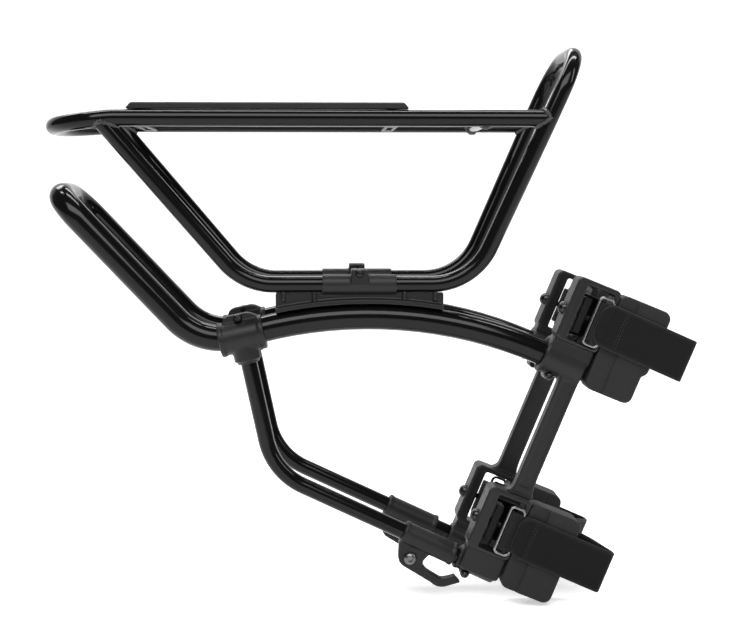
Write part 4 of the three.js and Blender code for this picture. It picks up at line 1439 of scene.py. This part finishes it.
def strapPath(foldU, tailU):
    # the empty loop hangs together: its inner leg comes out to meet the outer one at a tight fold
    s = strapSizes
    middle = s["inner"] + s["thickness"] / 2
    fold = s["fold"]
    corners = [
        at(s["startU"], -middle, 0),
        at(s["leaveU"], -middle, 0),
        at(foldU, middle - 2.3 * fold, 0),
        at(foldU, middle + s["bow"], 0),
        at(-20, middle + s["bow"], 0),
        at(tailU, middle, 0),
    ]
    rough = bentPath(corners, [s["leaveBend"], fold, fold, 120], 4)
    path = [(p.x, p.z) for p, _ in rough]
    even = [path[0]]
    for a, b in zip(path, path[1:]):
        pieces = max(1, int(math.dist(a, b) / 2.5))
        for k in range(1, pieces + 1):
            even.append((a[0] + (b[0] - a[0]) * k / pieces, a[1] + (b[1] - a[1]) * k / pieces))
    # closer stations at the tail, so that it rounds off smoothly
    path = [p for p in even if p[0] > tailU + s["tailRound"] or p[1] < 0]
    for step in range(13):
        path.append((tailU + s["tailRound"] * (1 - math.sin(math.pi / 2 * step / 12)), middle))
    return path


def hookPath():
    s = hookSizes
    path = [(s["frontU"] + (s["eyeU"] - s["frontU"]) * k / 12, s["height"]) for k in range(13)]
    for k in range(1, 25):
        angle = math.radians(90 + 262 * k / 24)
        middle = s["height"] - s["eye"]
        path.append((s["eyeU"] + s["eye"] * math.cos(angle), middle + s["eye"] * math.sin(angle)))
    return path


def ringMesh(name, centreZ, y, side):
    s = ringSizes
    h = y + side * s["h"]
    low = centreZ - s["halfHeight"]
    high = centreZ + s["halfHeight"]
    middle = (s["rearU"] + s["frontU"]) / 2
    corners = [
        (middle, h, low), (s["rearU"], h, low), (s["rearU"], h, high), (s["frontU"], h, high),
        (s["frontU"], h, low), (middle, h, low),
    ]
    path = bentPath(corners, [s["bend"]] * 4, 9)[:-1]
    return makeMesh(name, [sweep(path, s["wire"], 24, True)], stayTurn)


def tensionScrew(level, name, centreZ, y):
    s = tensionSizes
    seat = stayTurn @ Vector((s["seatU"], y, centreZ))
    back = stayTurn @ Vector((-1, 0, 0))
    screws(
        f"tensionHead_{level}_{name}",
        f"screw_{level}_{name}",
        [(seat, back)],
        tensionHead,
        tensionSteel,
        [f"tension_screw_{level}_{name}"],
    )
    stations = []
    radii = []
    along = Vector((1, 0, 0))
    count = int((s["endU"] - s["seatU"]) / s["pitch"] * 6)
    for k in range(count + 1):
        u = s["seatU"] + (s["endU"] - s["seatU"]) * k / count
        stations.append((Vector((u, y, centreZ)), along))
        wave = math.cos(2 * math.pi * (u - s["seatU"]) / s["pitch"])
        radii.append(s["radius"] - s["groove"] + s["groove"] * wave)
    radii[-1] = s["radius"] - s["tip"]
    thread = makeMesh("thread", [sweep(stations, radii, 24)], stayTurn)
    smoothShade(thread, 60)
    shank = makeObject(f"tensionThread_{level}_{name}", thread)
    finish(shank, f"screw_{level}_{name}", tensionSteel)


def strapSet(level, side, name):
    facts = levels[level]
    y = side * bracketSizes["halfWidth"]
    centreZ = -facts["frameV"] - bracketSizes["screwV"]
    body = f"strap_set_{level}_{name}"
    s = strapSizes
    path = strapPath(facts["foldU"], facts["tailU"])
    tail = s["tailRound"]
    loop = ribbon(path, s["width"], s["thickness"], centreZ, y, side, 0.5, tail, s["slope"])
    strap = ribbonPiece(f"strap_{level}_{name}", loop)
    finish(strap, body, webbing, [f"strap_{level}_{name}"])
    h = hookSizes
    tape = ribbon(hookPath(), h["width"], h["thickness"], centreZ, y, side, 3, 0.5)
    strip = ribbonPiece(f"hookStrip_{level}_{name}", tape)
    finish(strip, body, hookTape, [f"hook_strip_{level}_{name}"])
    # hooks stand on the face of the strip that shows beside the strap's tail
    top = y + side * (h["height"] + h["thickness"] / 2)
    rear, front = h["patchUs"]
    low = centreZ - h["patchHalf"]
    high = centreZ + h["patchHalf"]
    patch = [Vector((u, top, z)) for u, z in ((rear, low), (front, low), (front, high), (rear, high))]
    order = (0, 1, 2, 3) if side < 0 else (3, 2, 1, 0)
    field = bpy.data.meshes.new("field")
    field.from_pydata([(stayTurn @ p) * mm for p in patch], [], [order])
    hooks = grown(f"hooks_{level}_{name}", field, hookNodes, {"Density": 1500000.0, "Seed": 11}, hookTape)
    smoothShade(hooks.data, None)
    finish(hooks, body, hookTape)
    # two rows of stitches hold the tail's end
    stitchY = y + side * (s["inner"] + s["thickness"] + 0.3)
    for row, u in enumerate(s["stitchUs"]):
        drop = s["slope"] * (u - slopeStartU)
        ends = [
            stayTurn @ Vector((u, stitchY, centreZ + z - drop)) for z in (-s["stitchHalf"], s["stitchHalf"])
        ]
        line = lineMesh("row", ends, False)
        thread = grown(f"stitches{row}_{level}_{name}", line, stitchNodes, {"Seed": 5}, webbing)
        smoothShade(thread.data, None)
        if "weave" not in thread.data.uv_layers:
            thread.data.uv_layers.new(name="weave")
        finish(thread, body, webbing)
    ring = makeObject(f"buckleRing_{level}_{name}", ringMesh("ring", centreZ, y, side))
    smoothShade(ring.data, 60)
    finish(ring, body, ringSteel, [f"buckle_ring_{level}_{name}"])
    c = carriageSizes
    low = y - side * (s["inner"] - 0.3)
    high = y + side * c["outer"]
    shape = block(c["rearU"], c["frontU"], low, high, centreZ - c["halfHeight"], centreZ + c["halfHeight"])
    cuts = [bar((c["rearU"] - 1, y, centreZ), (c["frontU"] + 1, y, centreZ), c["hole"])]
    piece = carve(f"strapCarriage_{level}_{name}", [shape], cuts, 0.6, 4, stayTurn)
    finish(piece, body, deepMoulding, [f"strap_carriage_{level}_{name}"])
    tensionScrew(level, name, centreZ, y)


for name, side in sides.items():
    for level in levels:
        stayPad(level, side, name)
        strapSet(level, side, name)
print("pads and straps made")

# hook clips
clipSizes = {
    "length": 49,
    "wall": 2.6,
    "halfThickness": 4.5,
    "bolt": (15, -18.2),
    "boltHole": 2.9,
    "band": (3, 0.6),
    "slitHalf": 0.6,
    "stations": {"near": 123.5, "far": 112},
}
clipBolt = screwSizes(head=5.8, height=3.4, socket=2.6, depth=2.0, shank=2.5, reach=11.0)


def clipOutline():
    points = [(0, -4), (0, -9), (4.5, -20)]
    points += curveTo((4.5, -20), (7, -26.6), (14, -27.2))
    points += [(40, -30)]
    points += curveTo((40, -30), (48.5, -33), (55, -27))
    points += [(64, -19.2), (56.5, -16)]
    points += curveTo((56.5, -16), (52, -21), (46.5, -23.4))
    points += [(34, -21.8)]
    points += curveTo((34, -21.8), (27, -20.4), (26.5, -15.5))
    points += [(30, -4)]
    return points


def hookClip(side, name):
    s = clipSizes
    y = side * strutSizes["halfWidth"]
    radius = strutSizes["radius"] + s["wall"]
    boltX, boltZ = s["bolt"]
    thick = s["halfThickness"]
    length = s["length"]
    bandLength, bandRise = s["band"]
    slit = (y - s["slitHalf"], y + s["slitHalf"])
    adds = [
        bar((0, y, 0), (length, y, 0), radius, 64),
        bar((0, y, 0), (bandLength, y, 0), radius + bandRise, 64),
        bar((length - bandLength, y, 0), (length, y, 0), radius + bandRise, 64),
        slab(clipOutline(), y - thick, y + thick),
    ]
    cuts = [
        bar((-9, y, 0), (length + 9, y, 0), strutSizes["radius"] + 0.1, 64),
        block(-1, length + 1, *slit, -12, -5),
        block(-1, 24, *slit, -24, -11),
        bar((boltX, y - 20, boltZ), (boltX, y + 20, boltZ), s["boltHole"]),
    ]
    start = strutCorner + strutAlong * s["stations"][name]
    place = Matrix.Translation(start * mm) @ Matrix.Rotation(math.radians(strutSizes["slope"]), 4, "Y")
    piece = carve(f"hookClip_{name}", adds, cuts, 0.65, 3, place)
    finish(piece, f"clip_{name}", moulded, [f"hook_clip_{name}"])
    seat = place @ (Vector((boltX, y + side * (thick + 0.1), boltZ)) * mm)
    screws(
        f"clipBolt_{name}",
        f"clip_{name}",
        [(seat / mm, Vector((0, side, 0)))],
        clipBolt,
        boltSteel,
        [f"clip_bolt_{name}"],
    )


for name, side in sides.items():
    hookClip(side, name)
print("clips made")

# floor, light and camera
stageSizes = {"front": -3.0, "back": 1.6, "bend": 0.9, "height": 3.4, "half": 4.5, "drop": 0.004}
worldGlow = 0.1


def studioFloor():
    s = stageSizes
    low = cadLow.z - s["drop"]
    profile = [(s["front"], low)]
    for k in range(25):
        angle = math.pi / 2 * k / 24
        profile.append((s["back"] + s["bend"] * math.sin(angle), low + s["bend"] * (1 - math.cos(angle))))
    profile.append((s["back"] + s["bend"], low + s["height"]))
    verts = [(x, y, z) for y, z in profile for x in (-s["half"], s["half"])]
    faces = [(2 * k, 2 * k + 1, 2 * k + 3, 2 * k + 2) for k in range(len(profile) - 1)]
    mesh = bpy.data.meshes.new("studioFloor")
    mesh.from_pydata(verts, [], faces)
    smoothShade(mesh, None)
    mesh.materials.append(floorFinish())
    makeObject("studioFloor", mesh)


def softLight(name, place, aim, width, height, power):
    lamp = bpy.data.lights.new(name, "AREA")
    lamp.shape = "RECTANGLE"
    lamp.size = width
    lamp.size_y = height
    lamp.energy = power
    obj = bpy.data.objects.new(name, lamp)
    obj.location = place
    obj.rotation_euler = (Vector(aim) - Vector(place)).to_track_quat("-Z", "Y").to_euler()
    bpy.context.scene.collection.objects.link(obj)


studioFloor()
middle = (-0.21, 0, 0.12)
softLight("skyLight", (-0.35, -1.3, 1.35), middle, 1.9, 0.9, 35)
softLight("topLight", (-0.2, 0.25, 1.5), middle, 1.8, 0.16, 18)
softLight("rightLight", (1.3, -0.6, 0.9), middle, 0.25, 0.9, 7)
softLight("backLight", (-0.6, 1.1, 1.3), middle, 1.4, 0.4, 13)
world = bpy.data.worlds.new("studio")
world.use_nodes = True
world.node_tree.nodes["Background"].inputs[0].default_value = (1, 1, 1, 1)
world.node_tree.nodes["Background"].inputs[1].default_value = worldGlow
bpy.context.scene.world = world
bpy.context.scene.view_settings.view_transform = "Standard"

cameraSizes = {"place": (-0.2532, -1.118, 0.23475), "turn": (84.528, 0, -2.039), "lens": 62.94}
lens = bpy.data.cameras.new("camera")
lens.lens = cameraSizes["lens"]
lens.sensor_width = 36
lens.clip_start = 0.05
camera = bpy.data.objects.new("camera", lens)
camera.location = cameraSizes["place"]
camera.rotation_euler = [math.radians(a) for a in cameraSizes["turn"]]
bpy.context.scene.collection.objects.link(camera)
bpy.context.scene.camera = camera

bpy.context.view_layer.update()
